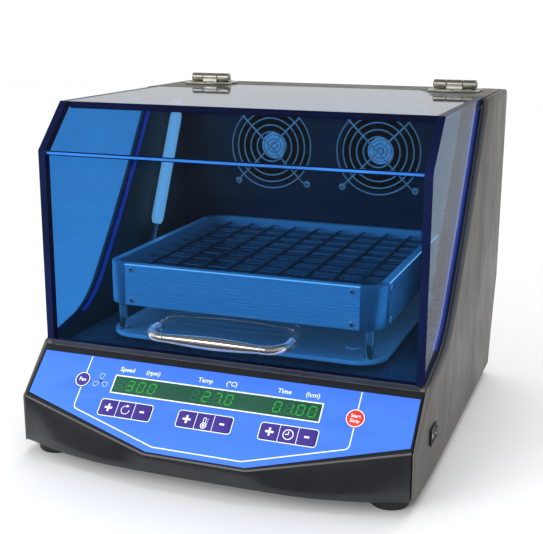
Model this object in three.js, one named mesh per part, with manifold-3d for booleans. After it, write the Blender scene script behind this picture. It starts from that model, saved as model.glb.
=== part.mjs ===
// Bench-top incubating orbital shaker: a cabinet with a sloping keypad, a tinted acrylic hood that
// lifts on two rear hinges and one gas strut, and a spring-wire tray carried on five cranks.
// Millimetres, +Z up, +X to the operator's right, the operator stands on the -Y side.
import * as THREE from 'three';
import { ConvexGeometry } from 'three/addons/geometries/ConvexGeometry.js';
import { mergeVertices } from 'three/addons/utils/BufferGeometryUtils.js';
import Module from 'manifold-3d';

const wasm = await Module();
wasm.setup();

// ---------------------------------------------------------------------------------------------
// Driving dimensions. Heights are measured from the underside of the cabinet, depths from its
// front corners; the whole object is moved at the end so that it stands on z = 0, centred.
// ---------------------------------------------------------------------------------------------
const GAP = 0.3;                 // clearance between pieces that touch
const FOOT_HEIGHT = 10;
const CABINET_TOP = 307.3;
const REAR_Y = 399.5;
const INNER_HALF = 174;          // inner faces of the two side panels
const HOOD_HALF = 181;           // half width of the hood and of the front fascia
const SIDE_HALF = 187.2;         // outer faces of the side panels
const CORNER_HALF = 184;         // the side panels draw in to this at the front corners
const SHEET = 3;                 // wall of the fascia and of the covers

const PANEL_TOP_Y = 40.7;        // upper edge of the sloping control panel
const PANEL_TOP_Z = 82.4;
const PANEL_TILT = THREE.MathUtils.degToRad(43);
const LIP_CORNER = 56.2;         // slope length of the panel at its corners
const LIP_CENTRE = 93.4;         // and along its middle
const LIP_HALF = 47.4;           // half width of the straight middle of the lip

const HOOD_FRONT_Y = 41.1;
const HOOD_BOTTOM_Z = 87.4;
const HOOD_BEND_Z = 266.2;       // where the upright pane meets the slanted one
const HOOD_TOP_FRONT_Y = 82;
const PANE = 7;                  // acrylic thickness
const HOOD_TAB_Y = 276;          // the rear plate reaches forward to here under the hinges
const HOOD_MID_Y = 335;          // and to here between them
const HOOD_REAR_Y = 341.5;
const HINGE_Y = 342;
const HINGE_Z = 314.2;
const HINGE_X = 140;

const FLOOR_TOP = 80;            // chamber floor
const FLOOR_THICK = 4;
const WALL_Y = 336;              // chamber back wall, front face
const FAN_X = 62;
const FAN_Z = 240;
const FAN_PITCH = 82.5;          // hole spacing of a 92 mm fan
const FAN_SIZE = 92;
const FAN_DEPTH = 25;

const ORBIT_Y = 190;             // centre of the orbit
const ORBIT_RADIUS = 10;         // 20 mm orbit
const TRAY_Y = ORBIT_Y + ORBIT_RADIUS;
const PLATE_BOTTOM = 87;
const PLATE_TOP = 91;
const TRAY_BOTTOM = 118.6;
const TRAY_TOP = 158.5;
const TRAY_HALF_X = 136;
const TRAY_HALF_Y = 126;
const TRAY_CORNER = 21;
const TRAY_WALL = 8;
const SPRING_PITCH = 26;
const IDLER_X = 100;
const IDLER_DY = 80;

const STRUT_X = -161.5;
const STRUT_LOW = [209, 105];    // y, z of the lower pivot
const STRUT_HIGH = [299, 290.5]; // y, z of the upper pivot
const STRUT_RADIUS = 6.5;
const ROD_RADIUS = 2.4;

// ---------------------------------------------------------------------------------------------
// Materials
// ---------------------------------------------------------------------------------------------
function material(color, roughness, metalness, opacity = 1) {
  return new THREE.MeshStandardMaterial({
    color, roughness, metalness, opacity, transparent: opacity < 1,
  });
}
const CHARCOAL = material(0x24262b, 0.35, 0.1);
const SIDE_GREY = material(0x5b5c56, 0.3, 0.3);
const NAVY_STEEL = material(0x1b2433, 0.45, 0.4);
const BLUE_PRINT = material(0x4f8cff, 0.4, 0);
const GREEN_WINDOW = material(0x10401f, 0.15, 0);
const PURPLE_KEY = material(0x46329a, 0.45, 0);
const RED_KEY = material(0xe03a34, 0.4, 0);
const TINTED = material(0x1d5fc4, 0.05, 0, 0.4);
const CHROME = material(0xd8d8d4, 0.12, 1);
const NICKEL = material(0xb9b49c, 0.3, 1);
const ALUMINIUM = material(0xa9b4c0, 0.35, 0.9);
const STEEL = material(0x9aa0a6, 0.35, 0.9);
const BLACK_PLASTIC = material(0x151515, 0.5, 0);
const RUBBER = material(0x101010, 0.85, 0);
const BOARD_GREEN = material(0x1d5a34, 0.5, 0);

// ---------------------------------------------------------------------------------------------
// Geometry helpers: plain three.js solids, and manifold joins and cuts
// ---------------------------------------------------------------------------------------------
const YZ_TO_WORLD = new THREE.Matrix4().makeBasis(
  new THREE.Vector3(0, 1, 0), new THREE.Vector3(0, 0, 1), new THREE.Vector3(1, 0, 0));
const XZ_TO_WORLD = new THREE.Matrix4().makeBasis(
  new THREE.Vector3(1, 0, 0), new THREE.Vector3(0, 0, 1), new THREE.Vector3(0, -1, 0));

function toSolid(geometry) {
  const bare = geometry.clone();
  bare.deleteAttribute('normal');
  bare.deleteAttribute('uv');
  const merged = mergeVertices(bare, 1e-4);
  return new wasm.Manifold(new wasm.Mesh({
    numProp: 3,
    vertProperties: new Float32Array(merged.attributes.position.array),
    triVerts: new Uint32Array(merged.index.array),
  }));
}

function toGeometry(solid) {
  const mesh = solid.getMesh();
  const geometry = new THREE.BufferGeometry();
  const stride = mesh.numProp;
  const count = mesh.vertProperties.length / stride;
  const position = new Float32Array(count * 3);
  for (let i = 0; i < count; i++) {
    for (let k = 0; k < 3; k++) position[3 * i + k] = mesh.vertProperties[stride * i + k];
  }
  geometry.setAttribute('position', new THREE.BufferAttribute(position, 3));
  geometry.setIndex([...mesh.triVerts]);
  geometry.computeVertexNormals();
  return geometry;
}

function box(x0, x1, y0, y1, z0, z1) {
  const geometry = new THREE.BoxGeometry(x1 - x0, y1 - y0, z1 - z0);
  geometry.translate((x0 + x1) / 2, (y0 + y1) / 2, (z0 + z1) / 2);
  return toSolid(geometry);
}

function cylinder(axis, radius, from, to, centre, sides = 24) {
  const geometry = new THREE.CylinderGeometry(radius, radius, to - from, sides);
  if (axis === 'x') geometry.rotateZ(-Math.PI / 2);
  if (axis === 'z') geometry.rotateX(Math.PI / 2);
  const middle = (from + to) / 2;
  const [a, b] = centre;
  if (axis === 'x') geometry.translate(middle, a, b);
  if (axis === 'y') geometry.translate(a, middle, b);
  if (axis === 'z') geometry.translate(a, b, middle);
  return toSolid(geometry);
}

function rod(from, to, radius, sides = 6) {
  const start = new THREE.Vector3(...from);
  const along = new THREE.Vector3(...to).sub(start);
  const geometry = new THREE.CylinderGeometry(radius, radius, along.length(), sides);
  geometry.translate(0, along.length() / 2, 0);
  geometry.applyQuaternion(new THREE.Quaternion().setFromUnitVectors(
    new THREE.Vector3(0, 1, 0), along.clone().normalize()));
  geometry.translate(start.x, start.y, start.z);
  return toSolid(geometry);
}

function polygon(points) {
  return new THREE.Shape(points.map(([a, b]) => new THREE.Vector2(a, b)));
}

function extrude(shape, depth, curveSegments = 8) {
  return new THREE.ExtrudeGeometry(shape, { depth, bevelEnabled: false, curveSegments });
}

// A Y-Z outline swept from x0 to x1
function sweepX(shape, x0, x1, curveSegments) {
  const geometry = extrude(shape, x1 - x0, curveSegments).applyMatrix4(YZ_TO_WORLD);
  return toSolid(geometry.translate(x0, 0, 0));
}

// An X-Z outline swept from y0 to y1
function sweepY(shape, y0, y1, curveSegments) {
  const geometry = extrude(shape, y1 - y0, curveSegments).applyMatrix4(XZ_TO_WORLD);
  return toSolid(geometry.translate(0, y1, 0));
}

// An X-Y outline swept from z0 to z1
function sweepZ(shape, z0, z1, curveSegments) {
  return toSolid(extrude(shape, z1 - z0, curveSegments).translate(0, 0, z0));
}

function lathe(points, sides = 24) {
  const profile = points.map(([radius, height]) => new THREE.Vector2(radius, height));
  return toSolid(new THREE.LatheGeometry(profile, sides).rotateX(Math.PI / 2));
}

function ring(radius, wire, centre, sides = 24) {
  const geometry = new THREE.TorusGeometry(radius, wire, 4, sides).rotateX(Math.PI / 2);
  return toSolid(geometry.translate(...centre));
}

function hull(points) {
  return toSolid(new ConvexGeometry(points.map((p) => new THREE.Vector3(...p))));
}

function mirrored(points) {
  return points.flatMap(([x, y, z]) => [[x, y, z], [-x, y, z]]);
}

function roundedRect(halfX, halfY, radius, cx = 0, cy = 0) {
  const shape = new THREE.Shape();
  shape.absarc(cx + halfX - radius, cy + halfY - radius, radius, 0, Math.PI / 2);
  shape.absarc(cx - halfX + radius, cy + halfY - radius, radius, Math.PI / 2, Math.PI);
  shape.absarc(cx - halfX + radius, cy - halfY + radius, radius, Math.PI, 1.5 * Math.PI);
  shape.absarc(cx + halfX - radius, cy - halfY + radius, radius, 1.5 * Math.PI, 2 * Math.PI);
  return shape;
}

const joinAll = (solids) => solids.reduce((whole, next) => whole.add(next));
const cutAll = (solid, tools) => tools.reduce((rest, tool) => rest.subtract(tool), solid);

const cabinet = new THREE.Group();

function piece(name, solid, look, parent = cabinet) {
  const mesh = new THREE.Mesh(toGeometry(solid), look.clone());
  mesh.name = name;
  parent.add(mesh);
  return mesh;
}

// ---------------------------------------------------------------------------------------------
// Side outline of the cabinet: the curve where the hood's side pane meets the side panel
// ---------------------------------------------------------------------------------------------
function sideCurve(shape) {
  shape.lineTo(43.5, 85.4);
  shape.lineTo(93.5, 95.4);
  shape.quadraticCurveTo(120.5, 100.6, 142.6, 127.6);
  shape.quadraticCurveTo(212.6, 212.6, 271, CABINET_TOP);
}

function rearOutline(shape, inset) {
  const rear = REAR_Y - inset;
  const top = CABINET_TOP - inset;
  shape.lineTo(391.5, top);
  shape.absarc(391.5, CABINET_TOP - 8, 8 - inset, Math.PI / 2, 0, true);
  shape.lineTo(rear, 98);
  shape.quadraticCurveTo(378 - inset, 40, 370 - inset, 0);
}

function sideProfile() {
  const lip = panelPoint(0, LIP_CORNER);
  const shape = new THREE.Shape();
  shape.moveTo(0, 0);
  shape.lineTo(lip[1], lip[2]);
  shape.lineTo(PANEL_TOP_Y, PANEL_TOP_Z);
  sideCurve(shape);
  rearOutline(shape, 0);
  return shape;
}

// A point of the control panel's plane, s millimetres down the slope
function panelPoint(x, s) {
  return [x, PANEL_TOP_Y - s * Math.cos(PANEL_TILT), PANEL_TOP_Z - s * Math.sin(PANEL_TILT)];
}

// Seen from above, the side panel draws in towards the front corner
function sidePlan(side) {
  const shape = new THREE.Shape();
  shape.moveTo(side * INNER_HALF, -5);
  shape.lineTo(side * CORNER_HALF, -5);
  shape.lineTo(side * CORNER_HALF, 0);
  shape.quadraticCurveTo(side * SIDE_HALF, 40, side * SIDE_HALF, 90);
  shape.lineTo(side * SIDE_HALF, REAR_Y + 1);
  shape.lineTo(side * INNER_HALF, REAR_Y + 1);
  return shape;
}

const SKIN = 183.2;              // inner face of the thin stretches of the side panels
const SWITCH = { y: 53.5, z: 41.3, halfY: 10.5, halfZ: 7.65 };

function sidePanel(side) {
  const span = side > 0 ? [INNER_HALF, SIDE_HALF + 1] : [-SIDE_HALF - 1, -INNER_HALF];
  const slab = sweepX(sideProfile(), ...span, 7);
  const plan = sweepZ(sidePlan(side), -1, CABINET_TOP + 1, 6);
  const inward = (limit, y0, y1, z0, z1) => (side > 0
    ? box(INNER_HALF - 5, limit, y0, y1, z0, z1)
    : box(-limit, -INNER_HALF + 5, y0, y1, z0, z1));
  return cutAll(slab.intersect(plan), [
    inward(HOOD_HALF + GAP, -30, HOOD_FRONT_Y + GAP, -1, 100),
    inward(SKIN, -30, 330, -1, 72),
    inward(SKIN, 343, 391, 106, 296),
    inward(SKIN, 343, 366, 10, 107),
    inward(HOOD_HALF + GAP, 260, HOOD_REAR_Y + 1.5, 300, CABINET_TOP + 1),
  ]);
}

function strutPivotBoss() {
  const [y, z] = STRUT_LOW;
  return joinAll([
    cylinder('x', 9, -INNER_HALF - 2, STRUT_X - 3.3, [y, z], 20),
    cylinder('x', 3, STRUT_X - 4, STRUT_X + 4.5, [y, z], 16),
  ]);
}

piece('left_side_panel', sidePanel(-1).add(strutPivotBoss()), SIDE_GREY);
piece('right_side_panel', sidePanel(1).subtract(
  box(170, 190, SWITCH.y - SWITCH.halfY + 0.8, SWITCH.y + SWITCH.halfY - 0.8,
    SWITCH.z - SWITCH.halfZ + 0.8, SWITCH.z + SWITCH.halfZ - 0.8)), SIDE_GREY);

// ---------------------------------------------------------------------------------------------
// Front fascia: faceted bow front and the sloping panel, with the keypad recess cut into it
// ---------------------------------------------------------------------------------------------
const PRINT = { half: 179.3, top: 6.5, side: 51, centreHalf: 46, centre: 90.2 };
// Bowed front edge along the floor, from the middle outwards, and the same one wall back
const FRONT_FOOT = [[45, -24.8, 0], [89, -23.6, 0], [117, -19.4, 0], [147, -12.3, 0]];
const FOOT_INSIDE = [[45, -21.6, -5], [88, -20.4, -5], [116, -16.2, -5], [146, -8.8, -5]];
const KEY_GROUPS = [['speed', -78.2], ['temperature', -1.5], ['time', 75.3]];
const KEY_ROW = 55;              // slope distance of the three key groups
const KEY_STEP = 16.6;           // width of one key cell
const KEY_HALF_X = 7.8;
const KEY_HALF_Y = 6.7;
const ROUND_KEYS = [['fan', -130.2, 31.4, 7.3], ['start_stop', 128.8, 31.9, 8.2]];
const WINDOW = { half: 99.4, top: 22.1, bottom: 40.7 };
const RECESS = 1.3;

const panel = new THREE.Group();
panel.position.set(0, PANEL_TOP_Y, PANEL_TOP_Z);
panel.rotation.x = PANEL_TILT;
cabinet.add(panel);
panel.updateMatrix();

function printOutline(grow) {
  const { half, top, side, centreHalf, centre } = PRINT;
  return polygon([
    [-half - grow, -top + grow], [-half - grow, -side - grow], [-centreHalf, -centre - grow],
    [centreHalf, -centre - grow], [half + grow, -side - grow], [half + grow, -top + grow]]);
}

const squareKeys = KEY_GROUPS.flatMap(([name, x]) => [
  [`key_${name}_up`, x - KEY_STEP], [`key_${name}_down`, x + KEY_STEP]]);

function keyHoles(z0, z1, grow) {
  return [
    ...squareKeys.map(([, x]) => box(x - KEY_HALF_X - grow, x + KEY_HALF_X + grow,
      -KEY_ROW - KEY_HALF_Y - grow, -KEY_ROW + KEY_HALF_Y + grow, z0, z1)),
    ...ROUND_KEYS.map(([, x, s, radius]) => cylinder('z', radius + grow, z0, z1, [x, -s])),
  ];
}

function fascia() {
  const corner = panelPoint(HOOD_HALF, LIP_CORNER);
  const middle = panelPoint(LIP_HALF, LIP_CENTRE);
  const back = HOOD_FRONT_Y;
  const outer = hull(mirrored([
    [HOOD_HALF, 0, 0], ...FRONT_FOOT, corner, middle,
    [HOOD_HALF, PANEL_TOP_Y, PANEL_TOP_Z], [HOOD_HALF, back, PANEL_TOP_Z], [HOOD_HALF, back, 0]]));
  // The hollow is the same form set one wall back, open behind, below and at both ends
  const over = 200;
  const rise = Math.tan(PANEL_TILT);
  const inside = (x, y) => [x, y, PANEL_TOP_Z - SHEET / Math.cos(PANEL_TILT)
    - rise * (PANEL_TOP_Y - y)];
  const hollow = hull(mirrored([
    [over, 7.8, -5], ...FOOT_INSIDE, inside(46.5, -24.4), inside(over, 6.8),
    inside(over, 60), [over, 60, -5]]));
  const recess = [
    sweepZ(printOutline(GAP), -RECESS, 5),
    box(-WINDOW.half + 3, WINDOW.half - 3, -WINDOW.bottom + 2, -WINDOW.top - 2, -8, 0),
    ...keyHoles(-8, 0, 0.6),
  ].map((tool) => tool.transform(panel.matrix.elements));
  return cutAll(outer.subtract(hollow), recess);
}
piece('front_fascia', fascia(), CHARCOAL);

function printSheet() {
  const windowHole = box(-WINDOW.half - GAP, WINDOW.half + GAP,
    -WINDOW.bottom - GAP, -WINDOW.top + GAP, -5, 5);
  return cutAll(sweepZ(printOutline(0), -1, -0.1), [windowHole, ...keyHoles(-5, 5, GAP)]);
}
piece('panel_overlay', printSheet(), BLUE_PRINT, panel);
piece('display_window', box(-WINDOW.half, WINDOW.half, -WINDOW.bottom, -WINDOW.top, -1, 0.1),
  GREEN_WINDOW, panel);

for (const [name, x] of squareKeys) {
  const outline = roundedRect(KEY_HALF_X, KEY_HALF_Y, 1.2, x, -KEY_ROW);
  piece(name, sweepZ(outline, -1, 0.4, 2), PURPLE_KEY, panel);
}
for (const [name, x, s, radius] of ROUND_KEYS) {
  const look = name === 'fan' ? PURPLE_KEY : RED_KEY;
  piece(`key_${name}`, cylinder('z', radius, -1, 0.4, [x, -s]), look, panel);
}

// Circuit board behind the panel: three digit modules and a tact switch under every key
function controlBoard() {
  const top = -10.4;
  const board = box(-138, 138, -64, -21, -12, top);
  const digits = [-72, 0, 72].map((x) => box(x - 24, x + 24, -38.5, -24, top - 0.2, -4));
  const switches = [
    ...squareKeys.map(([, x]) => [x, -KEY_ROW]),
    ...ROUND_KEYS.map(([, x, s]) => [x, -s]),
  ].flatMap(([x, y]) => [
    box(x - 3, x + 3, y - 3, y + 3, top - 0.2, -6),
    cylinder('z', 1.7, -6.2, -1.8, [x, y], 10)]);
  return joinAll([board, ...digits, ...switches]);
}
piece('control_board', controlBoard(), BOARD_GREEN, panel);

// ---------------------------------------------------------------------------------------------
// Base plate, feet, rear cover
// ---------------------------------------------------------------------------------------------
const BASE_HALF = INNER_HALF - 0.5;
const basePlan = polygon([
  [-BASE_HALF, 7], [-144, -4.8], [-115, -12.6], [-86, -17],
  [86, -17], [115, -12.6], [144, -4.8], [BASE_HALF, 7], [BASE_HALF, 366], [-BASE_HALF, 366]]);
const baseSlots = [];
for (let i = -3; i <= 3; i++) baseSlots.push(box(14 * i - 3, 14 * i + 3, 70, 120, -1, 5));
piece('base_plate', cutAll(sweepZ(basePlan, GAP, 2.8), baseSlots), NAVY_STEEL);

const footProfile = [
  [0, -FOOT_HEIGHT + 2], [6, -FOOT_HEIGHT + 2], [7, -FOOT_HEIGHT], [15.5, -FOOT_HEIGHT],
  [17, -FOOT_HEIGHT + 1.5], [18, -0.4], [11, -0.4], [10, 0], [0, 0]];
for (const [end, y] of [['front', 18], ['rear', 345]]) {
  for (const [hand, x] of [['left', -160], ['right', 160]]) {
    const foot = piece(`foot_${end}_${hand}`, lathe(footProfile), RUBBER);
    foot.position.set(x, y, 0);
  }
}

const INLET = { x: 112, z: 128, halfX: 13.6, halfZ: 9.8 };

function rearCover() {
  const shape = new THREE.Shape();
  shape.moveTo(HOOD_REAR_Y + 2, CABINET_TOP);
  rearOutline(shape, 0);
  shape.lineTo(370 - SHEET, 0);
  shape.quadraticCurveTo(378 - SHEET, 40, REAR_Y - SHEET, 98.6);
  shape.lineTo(REAR_Y - SHEET, CABINET_TOP - 8);
  shape.absarc(391.5, CABINET_TOP - 8, 8 - SHEET, 0, Math.PI / 2, false);
  shape.lineTo(HOOD_REAR_Y + 2, CABINET_TOP - SHEET);
  const width = INNER_HALF - GAP;
  const slots = [];
  for (const x of [-FAN_X, FAN_X]) {
    for (let i = -4; i <= 4; i++) {
      slots.push(box(x - 38, x + 38, 390, 405, FAN_Z + 9 * i - 2, FAN_Z + 9 * i + 2));
    }
  }
  slots.push(box(INLET.x - INLET.halfX - GAP, INLET.x + INLET.halfX + GAP, 390, 405,
    INLET.z - INLET.halfZ - GAP, INLET.z + INLET.halfZ + GAP));
  return cutAll(sweepX(shape, -width, width, 5), slots);
}
piece('rear_cover', rearCover(), CHARCOAL);

// Mains inlet: a snap-in shell with a flange, an open socket and three blades
function powerInlet() {
  const { x, z, halfX, halfZ } = INLET;
  const shell = joinAll([
    box(x - halfX, x + halfX, REAR_Y - 22, REAR_Y + 1, z - halfZ, z + halfZ),
    box(x - 16, x + 16, REAR_Y + GAP, REAR_Y + 2.3, z - 12.5, z + 12.5)]);
  const socket = box(x - 11.8, x + 11.8, REAR_Y - 14, REAR_Y + 5, z - 8, z + 8);
  const blades = [[-7, -2], [0, 2.5], [7, -2]].map(([dx, dz]) => box(
    x + dx - 1, x + dx + 1, REAR_Y - 15, REAR_Y - 9, z + dz - 2, z + dz + 2));
  return joinAll([shell.subtract(socket), ...blades]);
}
piece('power_inlet', powerInlet(), BLACK_PLASTIC);

// ---------------------------------------------------------------------------------------------
// Power switch in the right side panel: the paddle rocks about an upright axis
// ---------------------------------------------------------------------------------------------
const ROCKER_X = 186.4;
const ROCKER_TILT = THREE.MathUtils.degToRad(9);

function switchHousing() {
  const { y, z, halfY, halfZ } = SWITCH;
  const body = joinAll([
    box(174, 187.6, y - halfY + 1.1, y + halfY - 1.1, z - halfZ + 1.1, z + halfZ - 1.1),
    box(187.5, 188.7, y - halfY, y + halfY, z - halfZ, z + halfZ)]);
  return body.subtract(
    box(179.5, 190, y - halfY + 2, y + halfY - 2, z - halfZ + 2, z + halfZ - 2));
}
piece('switch_housing', switchHousing(), BLACK_PLASTIC);

function rockerPaddle() {
  const shape = polygon([[-1.5, -8], [2.6, -8], [1.6, 0], [2.6, 8], [-1.5, 8], [-4.5, 0]]);
  return sweepZ(shape, -5.3, 5.3);
}
const rocker = piece('power_rocker', rockerPaddle(), BLACK_PLASTIC);
rocker.position.set(ROCKER_X, SWITCH.y, SWITCH.z);
rocker.rotation.z = -ROCKER_TILT;

// ---------------------------------------------------------------------------------------------
// Chamber floor with its bearing bosses, back wall, fans, guards and heater
// ---------------------------------------------------------------------------------------------
const FLOOR_HALF = INNER_HALF - GAP;
const idlerPlaces = [
  ['front_left', -IDLER_X, ORBIT_Y - IDLER_DY], ['front_right', IDLER_X, ORBIT_Y - IDLER_DY],
  ['rear_left', -IDLER_X, ORBIT_Y + IDLER_DY], ['rear_right', IDLER_X, ORBIT_Y + IDLER_DY]];
const MOTOR_TOP = 48;
const SHAFT_RADIUS = 9;
const IDLER_SHAFT = 5;

function chamberFloor() {
  const under = FLOOR_TOP - FLOOR_THICK;
  const parts = [
    box(-FLOOR_HALF, FLOOR_HALF, HOOD_FRONT_Y + GAP, WALL_Y - GAP, under, FLOOR_TOP),
    box(-FLOOR_HALF, FLOOR_HALF, HOOD_FRONT_Y + GAP, HOOD_FRONT_Y + PANE, under, 86.9),
    cylinder('z', 34, MOTOR_TOP + GAP, under + 1, [0, ORBIT_Y]),
    ...idlerPlaces.map(([, x, y]) => cylinder('z', 12, 58, under + 1, [x, y], 16)),
  ];
  const bores = [
    cylinder('z', 27, MOTOR_TOP - 1, 62, [0, ORBIT_Y]),
    cylinder('z', SHAFT_RADIUS + GAP, 60, 90, [0, ORBIT_Y]),
    ...idlerPlaces.map(([, x, y]) => cylinder('z', IDLER_SHAFT + GAP, 50, 90, [x, y], 16)),
  ];
  return cutAll(joinAll(parts), bores);
}
piece('chamber_floor', chamberFloor(), NAVY_STEEL);

const fanPlaces = [['left', -FAN_X], ['right', FAN_X]];
const backWall = cutAll(
  box(-FLOOR_HALF, FLOOR_HALF, WALL_Y, WALL_Y + SHEET, FLOOR_TOP - 20, 298),
  fanPlaces.map(([, x]) => cylinder('y', 44, WALL_Y - 5, WALL_Y + 10, [x, FAN_Z], 32)));
piece('chamber_back_wall', backWall, NAVY_STEEL);

// The label side of each fan faces the chamber: its spider and stub hub are in front
function fanFrame(x) {
  const y0 = WALL_Y + SHEET + GAP;
  const half = FAN_SIZE / 2;
  const block = sweepY(roundedRect(half, half, 4, x, FAN_Z), y0, y0 + FAN_DEPTH, 3);
  const bore = cylinder('y', 43.5, y0 - 1, y0 + FAN_DEPTH + 1, [x, FAN_Z], 32);
  const hub = cylinder('y', 17, y0, y0 + 3.5, [x, FAN_Z], 20);
  const spider = [[1, 0], [0, 1]].map(([a, b]) => box(
    x - 44 * a - 2 * b, x + 44 * a + 2 * b, y0, y0 + 3,
    FAN_Z - 44 * b - 2 * a, FAN_Z + 44 * b + 2 * a));
  return joinAll([block.subtract(bore), hub, ...spider]);
}

// Wire guard: five rings on two crossed wires whose ends step back to the corner screws
const GUARD_RINGS = [16, 23.3, 30.6, 37.9, 45.2];
function fanGuard(x) {
  const half = FAN_PITCH / 2;
  const y = WALL_Y - 7;
  const rings = GUARD_RINGS.map((radius) => ring(radius, 1.1, [x, y, FAN_Z]));
  const wires = [];
  for (const [sx, sz] of [[1, 1], [-1, 1], [-1, -1], [1, -1]]) {
    const reach = half * 0.9;
    const knee = [x + sx * reach, y, FAN_Z + sz * reach];
    const screw = [x + sx * half, WALL_Y - 1.4, FAN_Z + sz * half];
    wires.push(rod([x, y, FAN_Z], knee, 1.2), rod(knee, screw, 1.2));
    wires.push(cylinder('y', 3.4, WALL_Y - 2.8, WALL_Y - GAP, [screw[0], screw[2]], 10));
  }
  return joinAll([...wires, ...rings]);
}

// Seven-bladed rotor, centred on its own axis
function fanRotor() {
  const hub = cylinder('y', 18, 0, 17, [0, 0]);
  const blades = [];
  for (let i = 0; i < 7; i++) {
    const blade = new THREE.BoxGeometry(25.5, 1.6, 18);
    blade.rotateX(THREE.MathUtils.degToRad(50));
    blade.translate(29, 9, 0);
    blade.rotateY((2 * Math.PI * i) / 7);
    blades.push(toSolid(blade));
  }
  return joinAll([hub, ...blades]);
}

for (const [hand, x] of fanPlaces) {
  piece(`fan_frame_${hand}`, fanFrame(x), BLACK_PLASTIC);
  piece(`fan_guard_${hand}`, fanGuard(x), CHROME);
  const rotor = piece(`fan_rotor_${hand}`, fanRotor(), BLACK_PLASTIC);
  rotor.position.set(x, WALL_Y + SHEET + GAP + 4.5, FAN_Z);
}

// Finned air heater under the fans
function heater() {
  const spine = box(-72, 72, 352, 358, 140, 176);
  const fins = [];
  for (let x = -70; x <= 70; x += 10) fins.push(box(x - 1, x + 1, 344, 372, 138, 178));
  return joinAll([spine, ...fins]);
}
piece('air_heater', heater(), ALUMINIUM);

// ---------------------------------------------------------------------------------------------
// Drive: a motor turns the central crank, four idler cranks keep the platform square
// ---------------------------------------------------------------------------------------------
const motor = piece('drive_motor', lathe([
  [0, 6], [30, 6], [30, 42], [34, 42], [34, MOTOR_TOP], [4, MOTOR_TOP], [4, 60], [0, 60]]), STEEL);
motor.position.set(0, ORBIT_Y, 0);

const CRANK_TOP = 85;
const PIN_TOP = 90;
const PIN_RADIUS = 6;
const IDLER_PIN = 4;

function driveCrank() {
  const shaft = lathe([
    [4.3, 52], [SHAFT_RADIUS, 52], [SHAFT_RADIUS, 81], [24, 81], [24, CRANK_TOP], [0, CRANK_TOP],
    [0, 64], [4.3, 64], [4.3, 52]]);
  return shaft.add(cylinder('z', PIN_RADIUS, CRANK_TOP - 1, PIN_TOP, [0, ORBIT_RADIUS], 20));
}

function idlerCrank() {
  const shaft = lathe([
    [0, 52], [8, 52], [8, 57.5], [IDLER_SHAFT, 57.5], [IDLER_SHAFT, 81], [16, 81],
    [16, CRANK_TOP], [0, CRANK_TOP]], 20);
  return shaft.add(cylinder('z', IDLER_PIN, CRANK_TOP - 1, PIN_TOP, [0, ORBIT_RADIUS], 12));
}

piece('drive_crank', driveCrank(), STEEL).position.set(0, ORBIT_Y, 0);
for (const [place, x, y] of idlerPlaces) {
  piece(`idler_crank_${place}`, idlerCrank(), STEEL).position.set(x, y, 0);
}

// ---------------------------------------------------------------------------------------------
// Platform and tray, drawn about their own centre
// ---------------------------------------------------------------------------------------------
const carriage = new THREE.Group();
carriage.position.set(0, TRAY_Y, 0);
cabinet.add(carriage);
const corners = [
  ['front_left', -1, -1], ['front_right', 1, -1], ['rear_left', -1, 1], ['rear_right', 1, 1]];

function platform() {
  const cups = [[0, 0, PIN_RADIUS], ...idlerPlaces.map(([, x, y]) => [x, y - ORBIT_Y, IDLER_PIN])];
  const parts = [
    sweepZ(roundedRect(TRAY_HALF_X, 128, 28), PLATE_BOTTOM, PLATE_TOP, 6),
    ...cups.map(([x, y, r]) => cylinder('z', r + 6, PLATE_TOP - 1, PLATE_TOP + 4, [x, y], 18)),
    ...corners.map(([, sx, sy]) => cylinder('z', 4, PLATE_TOP - 1, TRAY_BOTTOM - GAP,
      [sx * 122, sy * 116], 14)),
  ];
  const bores = cups.map(([x, y, r]) => cylinder('z', r + GAP, PLATE_BOTTOM - 1, PIN_TOP + 1.5,
    [x, y], 20));
  return cutAll(joinAll(parts), bores);
}
piece('platform', platform(), ALUMINIUM, carriage);

// Grooved rail section: `out` is the outer face, grooves run along the rail
function railSection() {
  const inner = TRAY_WALL;
  const points = [[inner, TRAY_BOTTOM], [0, TRAY_BOTTOM]];
  const grooves = 8;
  const step = (TRAY_TOP - TRAY_BOTTOM - 6) / grooves;
  for (let i = 0; i < grooves; i++) {
    const z = TRAY_BOTTOM + 3 + i * step;
    points.push([0, z], [0.7, z + 0.7], [0.7, z + 1.7], [0, z + 2.4]);
  }
  points.push([0, TRAY_TOP], [inner, TRAY_TOP]);
  return points;
}

function rail(sideways, sign) {
  const outer = sideways ? TRAY_HALF_X : TRAY_HALF_Y;
  const half = (sideways ? TRAY_HALF_Y : TRAY_HALF_X) - TRAY_CORNER - GAP;
  const outline = polygon(railSection().map(([depth, z]) => [sign * (outer - depth), z]));
  return sideways ? sweepY(outline, -half, half) : sweepX(outline, -half, half);
}
piece('tray_rail_front', rail(false, -1), ALUMINIUM, carriage);
piece('tray_rail_rear', rail(false, 1), ALUMINIUM, carriage);
piece('tray_rail_left', rail(true, -1), ALUMINIUM, carriage);
piece('tray_rail_right', rail(true, 1), ALUMINIUM, carriage);

function trayCorner(sx, sy) {
  const start = Math.atan2(sy, sx) - Math.PI / 4;
  const shape = new THREE.Shape();
  shape.absarc(0, 0, TRAY_CORNER, start, start + Math.PI / 2, false);
  shape.absarc(0, 0, TRAY_CORNER - TRAY_WALL, start + Math.PI / 2, start, true);
  const solid = sweepZ(shape, TRAY_BOTTOM, TRAY_TOP, 8);
  return solid.translate([
    sx * (TRAY_HALF_X - TRAY_CORNER), sy * (TRAY_HALF_Y - TRAY_CORNER), 0]);
}
for (const [place, sx, sy] of corners) {
  piece(`tray_corner_${place}`, trayCorner(sx, sy), ALUMINIUM, carriage);
}

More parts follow.
